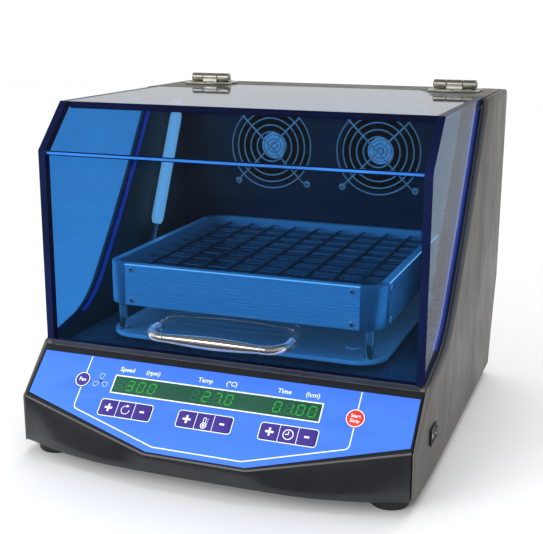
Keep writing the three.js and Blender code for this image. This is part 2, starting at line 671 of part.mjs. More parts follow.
const WELL_X = TRAY_HALF_X - TRAY_WALL - GAP;
const WELL_Y = TRAY_HALF_Y - TRAY_WALL - GAP;
piece('tray_base', sweepZ(roundedRect(WELL_X, WELL_Y, TRAY_CORNER - TRAY_WALL), 121, 123, 5),
  ALUMINIUM, carriage);

// Crossed springs that grip flasks of any size
function springGrid() {
  const springs = [];
  for (let i = -4; i <= 4; i++) {
    springs.push(box(SPRING_PITCH * i - 1.6, SPRING_PITCH * i + 1.6, -WELL_Y, WELL_Y, 150, 153.2));
  }
  for (let i = -3.5; i <= 3.5; i++) {
    springs.push(box(-WELL_X, WELL_X, SPRING_PITCH * i - 1.6, SPRING_PITCH * i + 1.6, 150, 153.2));
  }
  return joinAll(springs);
}
piece('spring_grid', springGrid(), STEEL, carriage);

// ---------------------------------------------------------------------------------------------
// Hood: one bent acrylic front-slope-top panel, two side panes, rear plate, handle
// ---------------------------------------------------------------------------------------------
// The bent panel's mid-line is mitred: the inner outline meets on the bisector of each bend
function hoodFrontPanel() {
  const half = INNER_HALF - GAP;
  const slope = Math.atan2(CABINET_TOP - HOOD_BEND_Z, HOOD_TOP_FRONT_Y - HOOD_FRONT_Y);
  const lowInset = PANE * Math.tan((Math.PI / 2 - slope) / 2);
  const highInset = PANE * Math.tan(slope / 2);
  const under = CABINET_TOP - PANE;
  const section = polygon([
    [HOOD_FRONT_Y, HOOD_BOTTOM_Z], [HOOD_FRONT_Y, HOOD_BEND_Z], [HOOD_TOP_FRONT_Y, CABINET_TOP],
    [HOOD_TAB_Y - GAP, CABINET_TOP], [HOOD_TAB_Y - GAP, under],
    [HOOD_TOP_FRONT_Y + highInset, under],
    [HOOD_FRONT_Y + PANE, HOOD_BEND_Z - lowInset], [HOOD_FRONT_Y + PANE, HOOD_BOTTOM_Z]]);
  const tongue = sweepZ(tongueOutline(0), under, CABINET_TOP);
  return sweepX(section, -half, half).add(tongue);
}

// Between the hinges the top pane runs back to a straight rear edge with two chamfered shoulders
function tongueOutline(grow) {
  const start = HOOD_TAB_Y - 10;
  return polygon([
    [-126 - grow, start], [126 + grow, start], [126 + grow, 300], [104 + grow, HOOD_MID_Y + grow],
    [-104 - grow, HOOD_MID_Y + grow], [-126 - grow, 300]]);
}
piece('hood_front_panel', hoodFrontPanel(), TINTED);

function hoodSidePane(side) {
  const shape = new THREE.Shape();
  shape.moveTo(HOOD_FRONT_Y, HOOD_BOTTOM_Z);
  shape.lineTo(92.8, 97.6);
  shape.quadraticCurveTo(118.8, 102.8, 140.5, 129);
  shape.quadraticCurveTo(210.4, 214, 268, CABINET_TOP);
  shape.lineTo(HOOD_TOP_FRONT_Y, CABINET_TOP);
  shape.lineTo(HOOD_FRONT_Y, HOOD_BEND_Z);
  const pane = sweepX(shape, INNER_HALF, HOOD_HALF, 7);
  return side > 0 ? pane : pane.mirror([1, 0, 0]);
}
piece('hood_left_pane', hoodSidePane(-1), TINTED);
piece('hood_right_pane', hoodSidePane(1), TINTED);

const EAR_SPAN = [-173.4, -168.8]; // lug of the strut's upper pivot, along X
const EAR_RADIUS = 7;
function hoodRearPlate() {
  const plate = box(-HOOD_HALF, HOOD_HALF, HOOD_TAB_Y, HOOD_REAR_Y, 300.5, CABINET_TOP);
  const cut = sweepZ(tongueOutline(GAP), 299, CABINET_TOP + 1);
  const [y, z] = STRUT_HIGH;
  const ear = joinAll([
    box(...EAR_SPAN, y - EAR_RADIUS, y + EAR_RADIUS, z, 301),
    cylinder('x', EAR_RADIUS, ...EAR_SPAN, [y, z], 16)]);
  return joinAll([plate.subtract(cut), ear]);
}
piece('hood_rear_plate', hoodRearPlate(), NAVY_STEEL);

const HANDLE_Z = 112;
const BAR_Y = 13.5;
const BAR_HALF = 46; // the straight, swelling bar ends where its two bent legs begin
const LEG_RADIUS = 4;
const BAR_RADII = [[0, 5.8], [12, 5.6], [24, 5], [36, 4.1], [BAR_HALF + 1, 3.6]]; // [x, radius]
function handleLeg(side) {
  const line = new THREE.CatmullRomCurve3([
    [64, 40.6], [64, 36], [64.3, 31], [62.2, 23.6], [57, 16.8], [51, 14], [BAR_HALF, BAR_Y],
  ].map(([x, y]) => new THREE.Vector3(side * x, y, HANDLE_Z)));
  const section = new THREE.Shape().absarc(0, 0, LEG_RADIUS, 0, 2 * Math.PI);
  return toSolid(new THREE.ExtrudeGeometry(section, {
    steps: 12, curveSegments: 6, extrudePath: line, bevelEnabled: false,
  }));
}
function handleBar() {
  const half = BAR_RADII.map(([x, radius]) => [radius, x]);
  const profile = [...half.slice(1).reverse().map(([radius, x]) => [radius, -x]), ...half];
  const ends = [[0, profile[0][1]], ...profile, [0, profile.at(-1)[1]]];
  const bar = lathe(ends, 12).rotate([0, 90, 0]).translate([0, BAR_Y, HANDLE_Z]);
  return joinAll([bar, handleLeg(-1), handleLeg(1)]);
}
piece('hood_handle', handleBar(), CHROME);

// ---------------------------------------------------------------------------------------------
// Butt hinges: the hood leaf carries the middle knuckle, the cabinet leaf the outer two and the pin
// ---------------------------------------------------------------------------------------------
const KNUCKLE = 5;
const LEAF_Z0 = CABINET_TOP + GAP;
const LEAF_Z1 = LEAF_Z0 + 2;

function leafOutline(direction) {
  const near = direction < 0 ? 0 : 2;
  const shape = new THREE.Shape();
  shape.moveTo(-27, direction * near);
  shape.lineTo(-27, direction * 12);
  shape.quadraticCurveTo(-26, direction * 26, 0, direction * 28);
  shape.quadraticCurveTo(26, direction * 26, 27, direction * 12);
  shape.lineTo(27, direction * near);
  return shape;
}

function hoodLeaf() {
  const plate = sweepZ(leafOutline(-1), LEAF_Z0 - HINGE_Z, LEAF_Z1 - HINGE_Z);
  const web = box(-8.5, 8.5, -5, 0, LEAF_Z0 - HINGE_Z, 0);
  const knuckle = cylinder('x', KNUCKLE, -8.5, 8.5, [0, 0]);
  const bore = cylinder('x', 2.5 + GAP, -10, 10, [0, 0], 16);
  const relief = [[-28, -8.5], [8.5, 28]].map(([a, b]) => box(
    a - 0.01, b, -5.6, 1, LEAF_Z0 - HINGE_Z - 0.1, 1));
  return cutAll(joinAll([plate, web, knuckle]), [bore, ...relief]);
}

function cabinetLeaf() {
  const plate = sweepZ(leafOutline(1), LEAF_Z0 - HINGE_Z, LEAF_Z1 - HINGE_Z);
  const knuckles = [[-22.5, -8.8], [8.8, 22.5]].flatMap(([a, b]) => [
    cylinder('x', KNUCKLE, a, b, [0, 0]), box(a, b, 0, 5, LEAF_Z0 - HINGE_Z, 0)]);
  const pin = cylinder('x', 2.5, -21, 21, [0, 0], 16);
  const relief = box(-8.8, 8.8, -6, 5.6, LEAF_Z0 - HINGE_Z - 0.1, 6).subtract(pin);
  return cutAll(joinAll([plate, ...knuckles, pin]), [relief]);
}

for (const [hand, x] of [['left', -HINGE_X], ['right', HINGE_X]]) {
  piece(`hinge_hood_leaf_${hand}`, hoodLeaf(), NICKEL).position.set(x, HINGE_Y, HINGE_Z);
  piece(`hinge_cabinet_leaf_${hand}`, cabinetLeaf(), NICKEL).position.set(x, HINGE_Y, HINGE_Z);
}

// ---------------------------------------------------------------------------------------------
// Gas strut inside the left of the hood, drawn along its own axis from the lower pivot
// ---------------------------------------------------------------------------------------------
const strutRun = [STRUT_HIGH[0] - STRUT_LOW[0], STRUT_HIGH[1] - STRUT_LOW[1]];
const STRUT_LENGTH = Math.hypot(...strutRun);
const strut = new THREE.Group();
strut.position.set(STRUT_X, ...STRUT_LOW);
strut.rotation.x = -Math.atan2(strutRun[0], strutRun[1]);
cabinet.add(strut);

const TUBE_START = 64;           // along the strut, from the lower pivot
const ROD_END = 124;
const tube = joinAll([
  lathe([[ROD_RADIUS + GAP, TUBE_START], [STRUT_RADIUS, TUBE_START],
    [STRUT_RADIUS, STRUT_LENGTH - 11], [0, STRUT_LENGTH - 11], [0, STRUT_LENGTH - 20],
    [ROD_RADIUS + GAP, STRUT_LENGTH - 20], [ROD_RADIUS + GAP, TUBE_START]], 20),
  cylinder('z', 3, STRUT_LENGTH - 12, STRUT_LENGTH, [0, 0], 12),
  cylinder('x', 4.4, -3, 3, [0, STRUT_LENGTH], 16),
  cylinder('x', 2.5, -6.9, 0, [0, STRUT_LENGTH], 12)]);
piece('strut_cylinder', tube, ALUMINIUM, strut);

const strutRod = joinAll([
  cylinder('z', ROD_RADIUS, 4, ROD_END, [0, 0], 14),
  cylinder('x', 5.5, -2.7, 2.7, [0, 0], 16)]).subtract(
  cylinder('x', 3 + GAP, -5, 5, [0, 0], 16));
piece('strut_rod', strutRod, CHROME, strut);

// ---------------------------------------------------------------------------------------------
// Stand the shaker on z = 0 with its footprint centred on the origin
// ---------------------------------------------------------------------------------------------
const FRONT_REACH = panelPoint(0, LIP_CENTRE)[1];
const REAR_REACH = REAR_Y + 2.3;
const group = new THREE.Group();
cabinet.position.set(0, -(FRONT_REACH + REAR_REACH) / 2, FOOT_HEIGHT);
group.add(cabinet);

export default group;
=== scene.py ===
"""Looks of the bench-top incubating orbital shaker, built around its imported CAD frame.

Pieces are drawn in millimetres in the cabinet's own coordinates (X right, Y back from the front
corners, Z up from the underside of the cabinet) and moved into the frame by add().
"""
import math

import bmesh
import bpy
from mathutils import Matrix, Vector


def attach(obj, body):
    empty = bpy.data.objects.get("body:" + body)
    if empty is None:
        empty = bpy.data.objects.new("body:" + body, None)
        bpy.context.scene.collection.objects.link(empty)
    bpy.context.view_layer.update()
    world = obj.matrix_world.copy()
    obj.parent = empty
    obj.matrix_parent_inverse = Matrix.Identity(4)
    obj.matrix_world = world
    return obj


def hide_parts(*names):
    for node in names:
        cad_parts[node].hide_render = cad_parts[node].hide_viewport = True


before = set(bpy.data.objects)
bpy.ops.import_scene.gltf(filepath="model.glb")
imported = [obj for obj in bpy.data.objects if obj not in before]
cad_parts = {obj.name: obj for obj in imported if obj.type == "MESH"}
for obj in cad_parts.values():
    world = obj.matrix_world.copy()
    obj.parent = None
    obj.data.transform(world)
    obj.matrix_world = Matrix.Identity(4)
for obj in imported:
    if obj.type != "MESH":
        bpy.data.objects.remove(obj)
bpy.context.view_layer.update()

# ---------------------------------------------------------------------------------------------
# Dimensions shared with the CAD part, in millimetres
# ---------------------------------------------------------------------------------------------
FOOT = 10.0
TILT = math.radians(43)
PANEL_TOP = (40.7, 82.4)
LIP_CORNER, LIP_CENTRE, LIP_HALF = 56.2, 93.4, 47.4
REAR_Y = 399.5
TOP = 307.3
FRONT_REACH = PANEL_TOP[0] - LIP_CENTRE * math.cos(TILT)
MID_Y = (FRONT_REACH + REAR_Y + 2.3) / 2
INNER, HOOD_HALF, SIDE_HALF, CORNER_HALF = 174.0, 181.0, 187.2, 184.0
HOOD_FRONT, HOOD_BOTTOM, BEND_Z, TOP_FRONT = 41.1, 87.4, 266.2, 82.0
PANE = 7.0
TAB_Y, MID_EDGE, HOOD_REAR = 276.0, 335.0, 341.5
HINGE_X, HINGE_Y, HINGE_Z = 140.0, 342.0, 314.2
WALL_Y = 336.0
FAN_X, FAN_Z, FAN_PITCH = 62.0, 240.0, 82.5
TRAY_Y = 200.0
TRAY_X2, TRAY_Y2, TRAY_Z0, TRAY_Z1, TRAY_R, TRAY_WALL = 136.0, 126.0, 118.6, 158.5, 21.0, 8.0
STRUT_X, STRUT_LOW, STRUT_HIGH = -161.5, (209.0, 105.0), (299.0, 290.5)
TO_FRAME = Matrix.Translation((0, -MID_Y / 1000, FOOT / 1000)) @ Matrix.Scale(0.001, 4)
PANEL = Matrix.Translation((0, *PANEL_TOP)) @ Matrix.Rotation(TILT, 4, "X")

# Outline planes: local (a, b, c) to cabinet (x, y, z)
ALONG_X = Matrix(((0, 0, 1, 0), (1, 0, 0, 0), (0, 1, 0, 0), (0, 0, 0, 1)))
ALONG_Y = Matrix(((1, 0, 0, 0), (0, 0, -1, 0), (0, 1, 0, 0), (0, 0, 0, 1)))
ALONG_Z = Matrix.Identity(4)
BACKWARDS = ALONG_Y @ Matrix.Scale(-1, 4, (0, 0, 1))
MIRROR_X = Matrix.Scale(-1, 4, (1, 0, 0))
HANDS = (("left", -1), ("right", 1))
CORNERS = ((-1, -1), (-1, 1), (1, -1), (1, 1))


# ---------------------------------------------------------------------------------------------
# Materials
# ---------------------------------------------------------------------------------------------
def feed(tree, made, *places, **inputs):
    """Sets a node's inputs by place or name (_ for a space), linking those given as sockets."""
    for key, value in [*enumerate(places), *inputs.items()]:
        socket = made.inputs[key.replace("_", " ") if isinstance(key, str) else key]
        if isinstance(value, bpy.types.NodeSocket):
            tree.links.new(value, socket)
        else:
            socket.default_value = value
    return made


def node(tree, kind, *places, operation=None, **inputs):
    made = tree.nodes.new("ShaderNode" + kind)
    if operation:
        made.operation = operation
    return feed(tree, made, *places, **inputs)


def new_material(name):
    m = bpy.data.materials.new(name)
    m.use_nodes = True
    return m, m.node_tree, m.node_tree.nodes["Principled BSDF"]


def noise(tree, scale, detail, stretch=(1, 1, 1)):
    coord = node(tree, "TexCoord").outputs["Object"]
    mapping = node(tree, "Mapping", Vector=coord, Scale=stretch)
    return node(tree, "TexNoise", Vector=mapping.outputs["Vector"], Scale=scale, Detail=detail,
                Roughness=0.55).outputs["Fac"]


def spread(tree, value, low, high, start=0.3, end=0.7, fade="LINEAR"):
    """The value between start and end, stretched to run from low to high."""
    r = node(tree, "MapRange", Value=value, From_Min=start, From_Max=end, To_Min=low, To_Max=high)
    r.interpolation_type = fade
    return r.outputs["Result"]


def blend_colour(tree, value, *stops):
    """The value turned into a colour; stops are (place, colour) from low to high."""
    ramp = node(tree, "ValToRGB", Fac=value)
    steps = ramp.color_ramp.elements
    steps.remove(steps[1])
    for i, (place, colour) in enumerate(stops):
        step = steps.new(place) if i else steps[0]
        step.position, step.color = place, (*colour, 1)
    return ramp.outputs["Color"]


def surface(name, colour, rough, metal=0.0, vary=0.12, cloud=9.0, grain=900.0, relief=20,
            span=0.08, stretch=(1, 1, 1), emission=None, specular=0.5):
    """Painted, moulded or machined finish: clouded colour, uneven gloss and a fine grain.

    Cloud and grain are noise scales, relief is the grain's height in micrometres, span is how far
    the roughness strays, and emission is a colour with its strength.
    """
    m, tree, bsdf = new_material(name)
    darker = tuple(c * (1 - vary) for c in colour)
    lighter = tuple(min(1.0, c * (1 + vary)) for c in colour)
    clouds = noise(tree, cloud, 4, stretch)
    gloss = noise(tree, cloud * 6, 5, stretch)
    bump = node(tree, "Bump", Strength=0.6, Distance=relief / 1e6,
                Height=noise(tree, grain, 2, stretch))
    feed(tree, bsdf, Base_Color=blend_colour(tree, clouds, (0.32, darker), (0.68, lighter)),
         Roughness=spread(tree, gloss, max(0.02, rough - span), rough + span),
         Normal=bump.outputs["Normal"], Metallic=metal, Specular_IOR_Level=specular)
    if emission:
        feed(tree, bsdf, Emission_Color=(*emission[:3], 1), Emission_Strength=emission[3])
    return m


def acrylic(name, tint, base_reflection, glance=1.0):
    """Thin tinted sheet: coloured see-through body under a reflection that grows at a glance."""
    m, tree, bsdf = new_material(name)
    tree.nodes.remove(bsdf)
    colour = blend_colour(tree, noise(tree, 3.0, 2), (0.32, tuple(c * 0.985 for c in tint)),
                          (0.68, tuple(min(1, c * 1.015) for c in tint)))
    clear = node(tree, "BsdfTransparent", Color=colour)
    gloss = node(tree, "BsdfGlossy", Color=(0.93, 0.96, 1.0, 1),
                 Roughness=spread(tree, noise(tree, 14, 4), 0.015, 0.05))
    facing = node(tree, "LayerWeight", Blend=0.5).outputs["Facing"]
    power = node(tree, "Math", facing, 4.6, operation="POWER").outputs[0]
    share = node(tree, "Math", power, (1 - base_reflection) * glance, base_reflection,
                 operation="MULTIPLY_ADD").outputs[0]
    mix = node(tree, "MixShader", share, clear.outputs[0], gloss.outputs[0])
    feed(tree, tree.nodes["Material Output"], Surface=mix.outputs[0])
    return m


BODY_PAINT = surface("body_paint", (0.118, 0.115, 0.106), 0.46, vary=0.18, cloud=5, grain=1500,
                     relief=6, span=0.10, stretch=(1, 1, 0.45), specular=0.10)
# Painted highlight: the fascia's rolled lip gets this lighter colour, standing in for the light
# line along it
LIP_HIGHLIGHT = surface("lip_painted_highlight", (0.135, 0.128, 0.122), 0.40, 0.2, vary=0.12, cloud=14, grain=900,
              relief=10)
FRONT_PAINT = surface("front_paint", (0.0145, 0.0155, 0.0185), 0.30, vary=0.10, cloud=8, grain=2600,
                      relief=30, span=0.05)
NAVY = surface("navy_paint", (0.035, 0.042, 0.055), 0.38, vary=0.14, cloud=7, grain=1800,
               relief=20, span=0.06)
LINING = surface("lining_floor", (0.20, 0.19, 0.20), 0.26, vary=0.16, cloud=9, grain=1800,
                 relief=8, span=0.08)
SEAL = surface("hood_seal", (0.022, 0.032, 0.052), 0.34, vary=0.25, cloud=14, grain=1500,
               relief=10, span=0.06)
EDGE = surface("acrylic_edge", (0.005, 0.009, 0.042), 0.30, vary=0.25, cloud=12, relief=4,
               span=0.04, specular=0.04)
EDGE_GLOW = surface("acrylic_edge_lit", (0.02, 0.04, 0.14), 0.35, relief=4, specular=0.1)

# Glued joint between the front and slope panes: a painted glow (emission) stands in for the light
# caught along it
SEAM = surface("acrylic_seam", (0.20, 0.42, 0.80), 0.25, vary=0.18, cloud=18, relief=4,
               emission=(0.12, 0.33, 0.78, 0.26))


def glow_stripes(m):
    """Light gathered along the middle of a pane's edge, in stripes across its thickness."""
    tree = m.node_tree
    side = node(tree, "SeparateXYZ", node(tree, "TexCoord").outputs["Object"]).outputs["X"]
    across = node(tree, "Math", side, operation="ABSOLUTE").outputs[0]
    depth = spread(tree, across, 0, 1, (HOOD_HALF - PANE) / 1000, HOOD_HALF / 1000)
    colour = blend_colour(tree, depth, (0.0, (0.12, 0.17, 0.42)), (0.16, (0.07, 0.10, 0.40)),
                          (0.28, (0.01, 0.012, 0.08)), (0.42, (0.09, 0.13, 0.44)),
                          (0.56, (0.02, 0.03, 0.15)), (0.72, (0.004, 0.008, 0.05)))
    feed(tree, tree.nodes["Principled BSDF"], Base_Color=colour, Emission_Color=colour,
         Emission_Strength=0.35)


glow_stripes(EDGE_GLOW)
TINT = acrylic("tinted_pane", (0.40, 0.66, 0.87), 0.05)
TINT_SIDE = acrylic("tinted_side_pane", (0.42, 0.69, 0.90), 0.03, 0.38)
ALUMINIUM = surface("satin_aluminium", (0.86, 0.88, 0.90), 0.40, 0.35, vary=0.06, cloud=10,
                    grain=700, relief=10, span=0.07, stretch=(0.08, 0.08, 2.0))
# Painted highlight for the deck's edge: a slightly lighter sheet than the deck, with a faint
# painted glow (emission)
DECK_EDGE_HIGHLIGHT = surface("deck_edge_painted_highlight", (0.88, 0.90, 0.92), 0.30, 0.15, vary=0.08, cloud=10,
                      grain=600, relief=10, span=0.08, stretch=(0.06, 2.0, 1.0),
                      emission=(0.7, 0.85, 1.0, 0.06))
# The deck carries a faint painted glow (emission) that lifts it in the shade
DECK = surface("brushed_deck", (0.86, 0.88, 0.91), 0.30, 0.20, vary=0.08, cloud=10, grain=600,
               relief=10, span=0.08, stretch=(0.06, 2.0, 1.0),
               emission=(0.7, 0.85, 1.0, 0.05))
# Painted highlight for the chamfer along each rail's top: a strong painted glow (emission)
RAIL_EDGE_HIGHLIGHT = surface("rail_edge_painted_highlight", (0.92, 0.96, 1.0), 0.25, 0.3, vary=0.06, cloud=18,
                   emission=(0.75, 0.92, 1.0, 0.95))
CORNER_METAL = surface("rolled_corner", (0.78, 0.81, 0.85), 0.35, 0.8, vary=0.06, cloud=12,
                       grain=700, relief=10, span=0.06)
TRAY_FLOOR = surface("polished_sheet", (0.40, 0.42, 0.45), 0.20, 1.0, vary=0.08, cloud=10,
                     grain=600, relief=10, span=0.06, stretch=(0.06, 2.0, 1.0))
SPRING = surface("spring_steel", (0.42, 0.44, 0.47), 0.32, 1.0, vary=0.15, cloud=30, relief=10)
# The strut tube carries a strong painted glow (emission) that stands in for the highlight it
# catches
STRUT_METAL = surface("strut_tube", (0.97, 0.98, 0.99), 0.24, 0.25, vary=0.03, cloud=18, grain=420,
                      relief=20, span=0.05, emission=(0.9, 0.95, 1.0, 0.62))
# Plated wire and screws, with a faint painted glow (emission) that lifts them
WIRE = surface("bright_wire_painted_glow", (0.97, 0.975, 0.98), 0.20, 0.92, vary=0.05, cloud=20,
               relief=5, span=0.05, emission=(0.9, 0.95, 1.0, 0.15))
# Chrome with a faint painted glow (emission) that lightens it
CHROME = surface("chrome", (0.93, 0.895, 0.82), 0.10, 1.0, vary=0.03, cloud=12, relief=3,
                 span=0.03, emission=(0.7, 0.85, 1.0, 0.04))
NICKEL = surface("satin_nickel", (0.61, 0.595, 0.525), 0.34, 1.0, vary=0.12, cloud=22, grain=500,
                 relief=20, span=0.08)
STEEL = surface("machined_steel", (0.56, 0.57, 0.58), 0.33, 1.0, vary=0.08, cloud=16, grain=700,
                relief=10, span=0.08)
BLACK = surface("black_plastic", (0.008, 0.008, 0.009), 0.45, vary=0.2, cloud=12, grain=1500,
                relief=40, span=0.06)
RUBBER = surface("rubber", (0.011, 0.011, 0.011), 0.72, vary=0.25, cloud=14, grain=900,
                 relief=60)
BOARD = surface("circuit_board", (0.02, 0.11, 0.05), 0.4, vary=0.3, cloud=60, relief=20)
# Blue membrane with a faint painted glow (emission) that lifts its colour
BLUE = surface("blue_membrane", (0.058, 0.190, 0.84), 0.42, vary=0.03, cloud=5, grain=1600,
               relief=10, span=0.05, specular=0.25, emission=(0.06, 0.20, 1.0, 0.06))
PURPLE = surface("violet_key", (0.056, 0.031, 0.26), 0.40, vary=0.12, cloud=12, grain=1300,
                 relief=20)
RED = surface("red_key", (0.78, 0.045, 0.028), 0.40, vary=0.10, cloud=12, grain=1300,
              relief=20)
# White print with a faint painted glow (emission)
WHITE = surface("white_print", (0.82, 0.89, 0.98), 0.45, vary=0.04, cloud=40, relief=5,
                emission=(0.8, 0.88, 1.0, 0.10))
PALE_BLUE = surface("pale_print", (0.40, 0.60, 0.96), 0.45, vary=0.05, cloud=40)
# Display window glass with a faint painted glow (emission)
GREEN_GLASS = surface("display_window", (0.018, 0.085, 0.050), 0.30, vary=0.15, cloud=16,
                      relief=4, span=0.04, emission=(0.02, 0.10, 0.06, 0.12))
DIGIT_ON = surface("digit_lit", (0.02, 0.29, 0.03), 0.4, vary=0.05,
                   emission=(0.03, 0.45, 0.02, 0.42))
# Unlit segments with a faint painted glow (emission)
DIGIT_OFF = surface("digit_dark", (0.016, 0.16, 0.070), 0.35, vary=0.1,
                    emission=(0.01, 0.12, 0.05, 0.15))
# Fan hub sticker with a painted glow (emission)
STICKER = surface("fan_sticker", (0.80, 0.84, 0.90), 0.30, 0.35, vary=0.35, cloud=140, grain=500,
                  relief=10, emission=(0.6, 0.75, 0.9, 0.30))
STICKER_INK = surface("fan_sticker_ink", (0.28, 0.31, 0.37), 0.40, vary=0.25, cloud=60)


# ---------------------------------------------------------------------------------------------
# Mesh building
# ---------------------------------------------------------------------------------------------
def add(name, mesh, looks, body, replaces=None, local=Matrix.Identity(4), bevel=0.0,
        segments=2, angle=30, smooth=40, pick=None, rim=-1):
    """Puts a mesh drawn in millimetres into the frame, dresses it and hangs it on its body.

    It replaces the CAD node of its own name unless others are given; pick chooses the material
    of each face.
    """
    mesh.transform(TO_FRAME @ local)
    mesh.update()
    obj = bpy.data.objects.new(name, mesh)
    bpy.context.scene.collection.objects.link(obj)
    places = [p.material_index for p in mesh.polygons]
    mesh.materials.clear()
    for look in (looks if isinstance(looks, (list, tuple)) else [looks]):
        mesh.materials.append(look)
    for p, place in zip(mesh.polygons, places):
        p.material_index = place
        if pick:
            p.material_index = pick(p)
        p.use_smooth = True
    mesh.set_sharp_from_angle(angle=math.radians(smooth))
    if bevel:
        edge = soften(obj, bevel, segments, angle)
        edge.harden_normals, edge.material = True, rim
    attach(obj, body)
    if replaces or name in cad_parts:
        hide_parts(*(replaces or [name]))
    return obj


def soften(obj, bevel, segments=2, angle=35):
    edge = obj.modifiers.new("edge", "BEVEL")
    edge.width, edge.segments, edge.limit_method = bevel / 1000, segments, "ANGLE"
    edge.angle_limit = math.radians(angle)
    edge.use_clamp_overlap = True
    return edge


def dress(name, look, bevel=0.0):
    """A CAD node that keeps its shape: clean facets, softened edges and its own finish."""
    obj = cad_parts[name]
    obj.data.materials.clear()
    obj.data.materials.append(look)
    weld = obj.modifiers.new("weld", "WELD")
    weld.merge_threshold = 0.00001
    flat = obj.modifiers.new("flat", "DECIMATE")
    flat.decimate_type, flat.angle_limit = "DISSOLVE", math.radians(1)
    if bevel:
        soften(obj, bevel)


def evaluated(obj):
    """A new mesh of the object with its modifiers applied."""
    bpy.context.view_layer.update()
    return bpy.data.meshes.new_from_object(obj.evaluated_get(
        bpy.context.evaluated_depsgraph_get()))


def curve_mesh(curve):
    obj = bpy.data.objects.new("c", curve)
    bpy.context.scene.collection.objects.link(obj)
    mesh = evaluated(obj)
    bpy.data.objects.remove(obj)
    return mesh


def cut_from(obj, cutter):
    """The object's mesh with a closed cutter mesh taken out of it."""
    tool = bpy.data.objects.new("cutter", cutter)
    bpy.context.scene.collection.objects.link(tool)
    cut = obj.modifiers.new("cut", "BOOLEAN")
    cut.operation, cut.object, cut.solver = "DIFFERENCE", tool, "EXACT"
    mesh = evaluated(obj)
    bpy.data.objects.remove(tool)
    obj.modifiers.clear()
    return mesh


def to_mesh(bm):
    mesh = bpy.data.meshes.new("m")
    bm.to_mesh(mesh)
    bm.free()
    return mesh


def from_bmesh(bm):
    bmesh.ops.recalc_face_normals(bm, faces=bm.faces)
    return to_mesh(bm)


def joined(parts):
    """One mesh out of several; a part may come with its material index, None for its own ones."""
    bm = bmesh.new()
    for part in parts:
        mesh, index = part if isinstance(part, tuple) else (part, 0)
        start = len(bm.faces)
        bm.from_mesh(mesh)
        bm.faces.ensure_lookup_table()
        for f in bm.faces[start:] if index is not None else ():
            f.material_index = index
    return to_mesh(bm)


def layered(*groups):
    """One mesh out of lists of meshes, each list in the next material."""
    return joined([(mesh, index) for index, group in enumerate(groups) for mesh in group])


def moved(mesh, matrix):
    mesh.transform(matrix)
    if matrix.determinant() < 0:
        mesh.flip_normals()
    return mesh


def at(x, y, z):
    return Matrix.Translation((x, y, z))


def bridge(bm, a, b):
    """A ring of faces between two rings of vertices, one of which may be a single point."""
    sides = max(len(a), len(b))
    faces = []
    for i in range(sides):
        j = (i + 1) % sides
        corners = (a[i % len(a)], a[j % len(a)], b[j % len(b)], b[i % len(b)])
        faces.append(bm.faces.new(list(dict.fromkeys(corners))))
    return faces


def prism(points, c0, c1, plane=ALONG_Z):
    """Straight solid over one outline (no holes)."""
    bm = bmesh.new()
    low = [bm.verts.new((a, b, c0)) for a, b in points]
    high = [bm.verts.new((a, b, c1)) for a, b in points]
    bm.faces.new(low[::-1])
    bm.faces.new(high)
    bridge(bm, low, high)
    bm.transform(plane)
    return from_bmesh(bm)


def plate(outlines, c0, c1, round_=0.0, plane=ALONG_Z, steps=2):
    """Flat solid from an outer outline and its holes, with rounded rims."""
    curve = bpy.data.curves.new("c", "CURVE")
    curve.dimensions, curve.fill_mode = "2D", "BOTH"
    curve.extrude = (c1 - c0) / 2 - round_
    curve.bevel_depth, curve.bevel_resolution, curve.offset = round_, steps, -round_
    for pts in outlines:
        spline = curve.splines.new("POLY")
        spline.points.add(len(pts) - 1)
        for p, (a, b) in zip(spline.points, pts):
            p.co = (a, b, 0, 1)
        spline.use_cyclic_u = True
    bm = bmesh.new()
    bm.from_mesh(curve_mesh(curve))
    bmesh.ops.remove_doubles(bm, verts=bm.verts, dist=0.0005)
    mesh = from_bmesh(bm)
    mesh.transform(plane @ at(0, 0, (c0 + c1) / 2))
    return mesh


def brick(x0, x1, y0, y1, z0, z1):
    return prism([(x0, y0), (x1, y0), (x1, y1), (x0, y1)], z0, z1)


def turned(profile, sides=40, plane=ALONG_Z):
    """Solid of revolution about the local c axis; profile is (radius, height) from low to high."""
    bm = bmesh.new()
    rings = []
    for radius, height in profile:
        spots = circle(0, 0, radius, sides) if radius > 1e-6 else [(0, 0)]
        rings.append([bm.verts.new((a, b, height)) for a, b in spots])
    for lower, upper in zip(rings, rings[1:]):
        bridge(bm, lower, upper)
    for end in (rings[0], rings[-1]):
        if len(end) > 1:
            bm.faces.new(end)
    bm.transform(plane)
    return from_bmesh(bm)


def tube(points, radius, sides, closed=False):
    """Round wire along points that does not twist; radius is one number or one for each point."""
    pts = [Vector(p) for p in points]
    n = len(pts)
    tangents = []
    for i in range(n):
        a = pts[i - 1] if (i or closed) else pts[0]
        b = pts[(i + 1) % n] if (i < n - 1 or closed) else pts[-1]
        tangents.append((b - a).normalized())
    normal = tangents[0].orthogonal().normalized()
    bm = bmesh.new()
    rings = []
    for i, (p, t) in enumerate(zip(pts, tangents)):
        if i:
            normal = (normal - t * normal.dot(t)).normalized()
        side = t.cross(normal)
        r = radius[i] if isinstance(radius, list) else radius
        rings.append([bm.verts.new(p + (normal * math.cos(2 * math.pi * k / sides)
                                        + side * math.sin(2 * math.pi * k / sides)) * r)
                      for k in range(sides)])
    pairs = list(zip(rings, rings[1:]))
    if closed:
        pairs.append((rings[-1], rings[0]))
    for a, b in pairs:
        bridge(bm, a, b)
    if not closed:
        bm.faces.new(rings[0][::-1])
        bm.faces.new(rings[-1])
    return from_bmesh(bm)


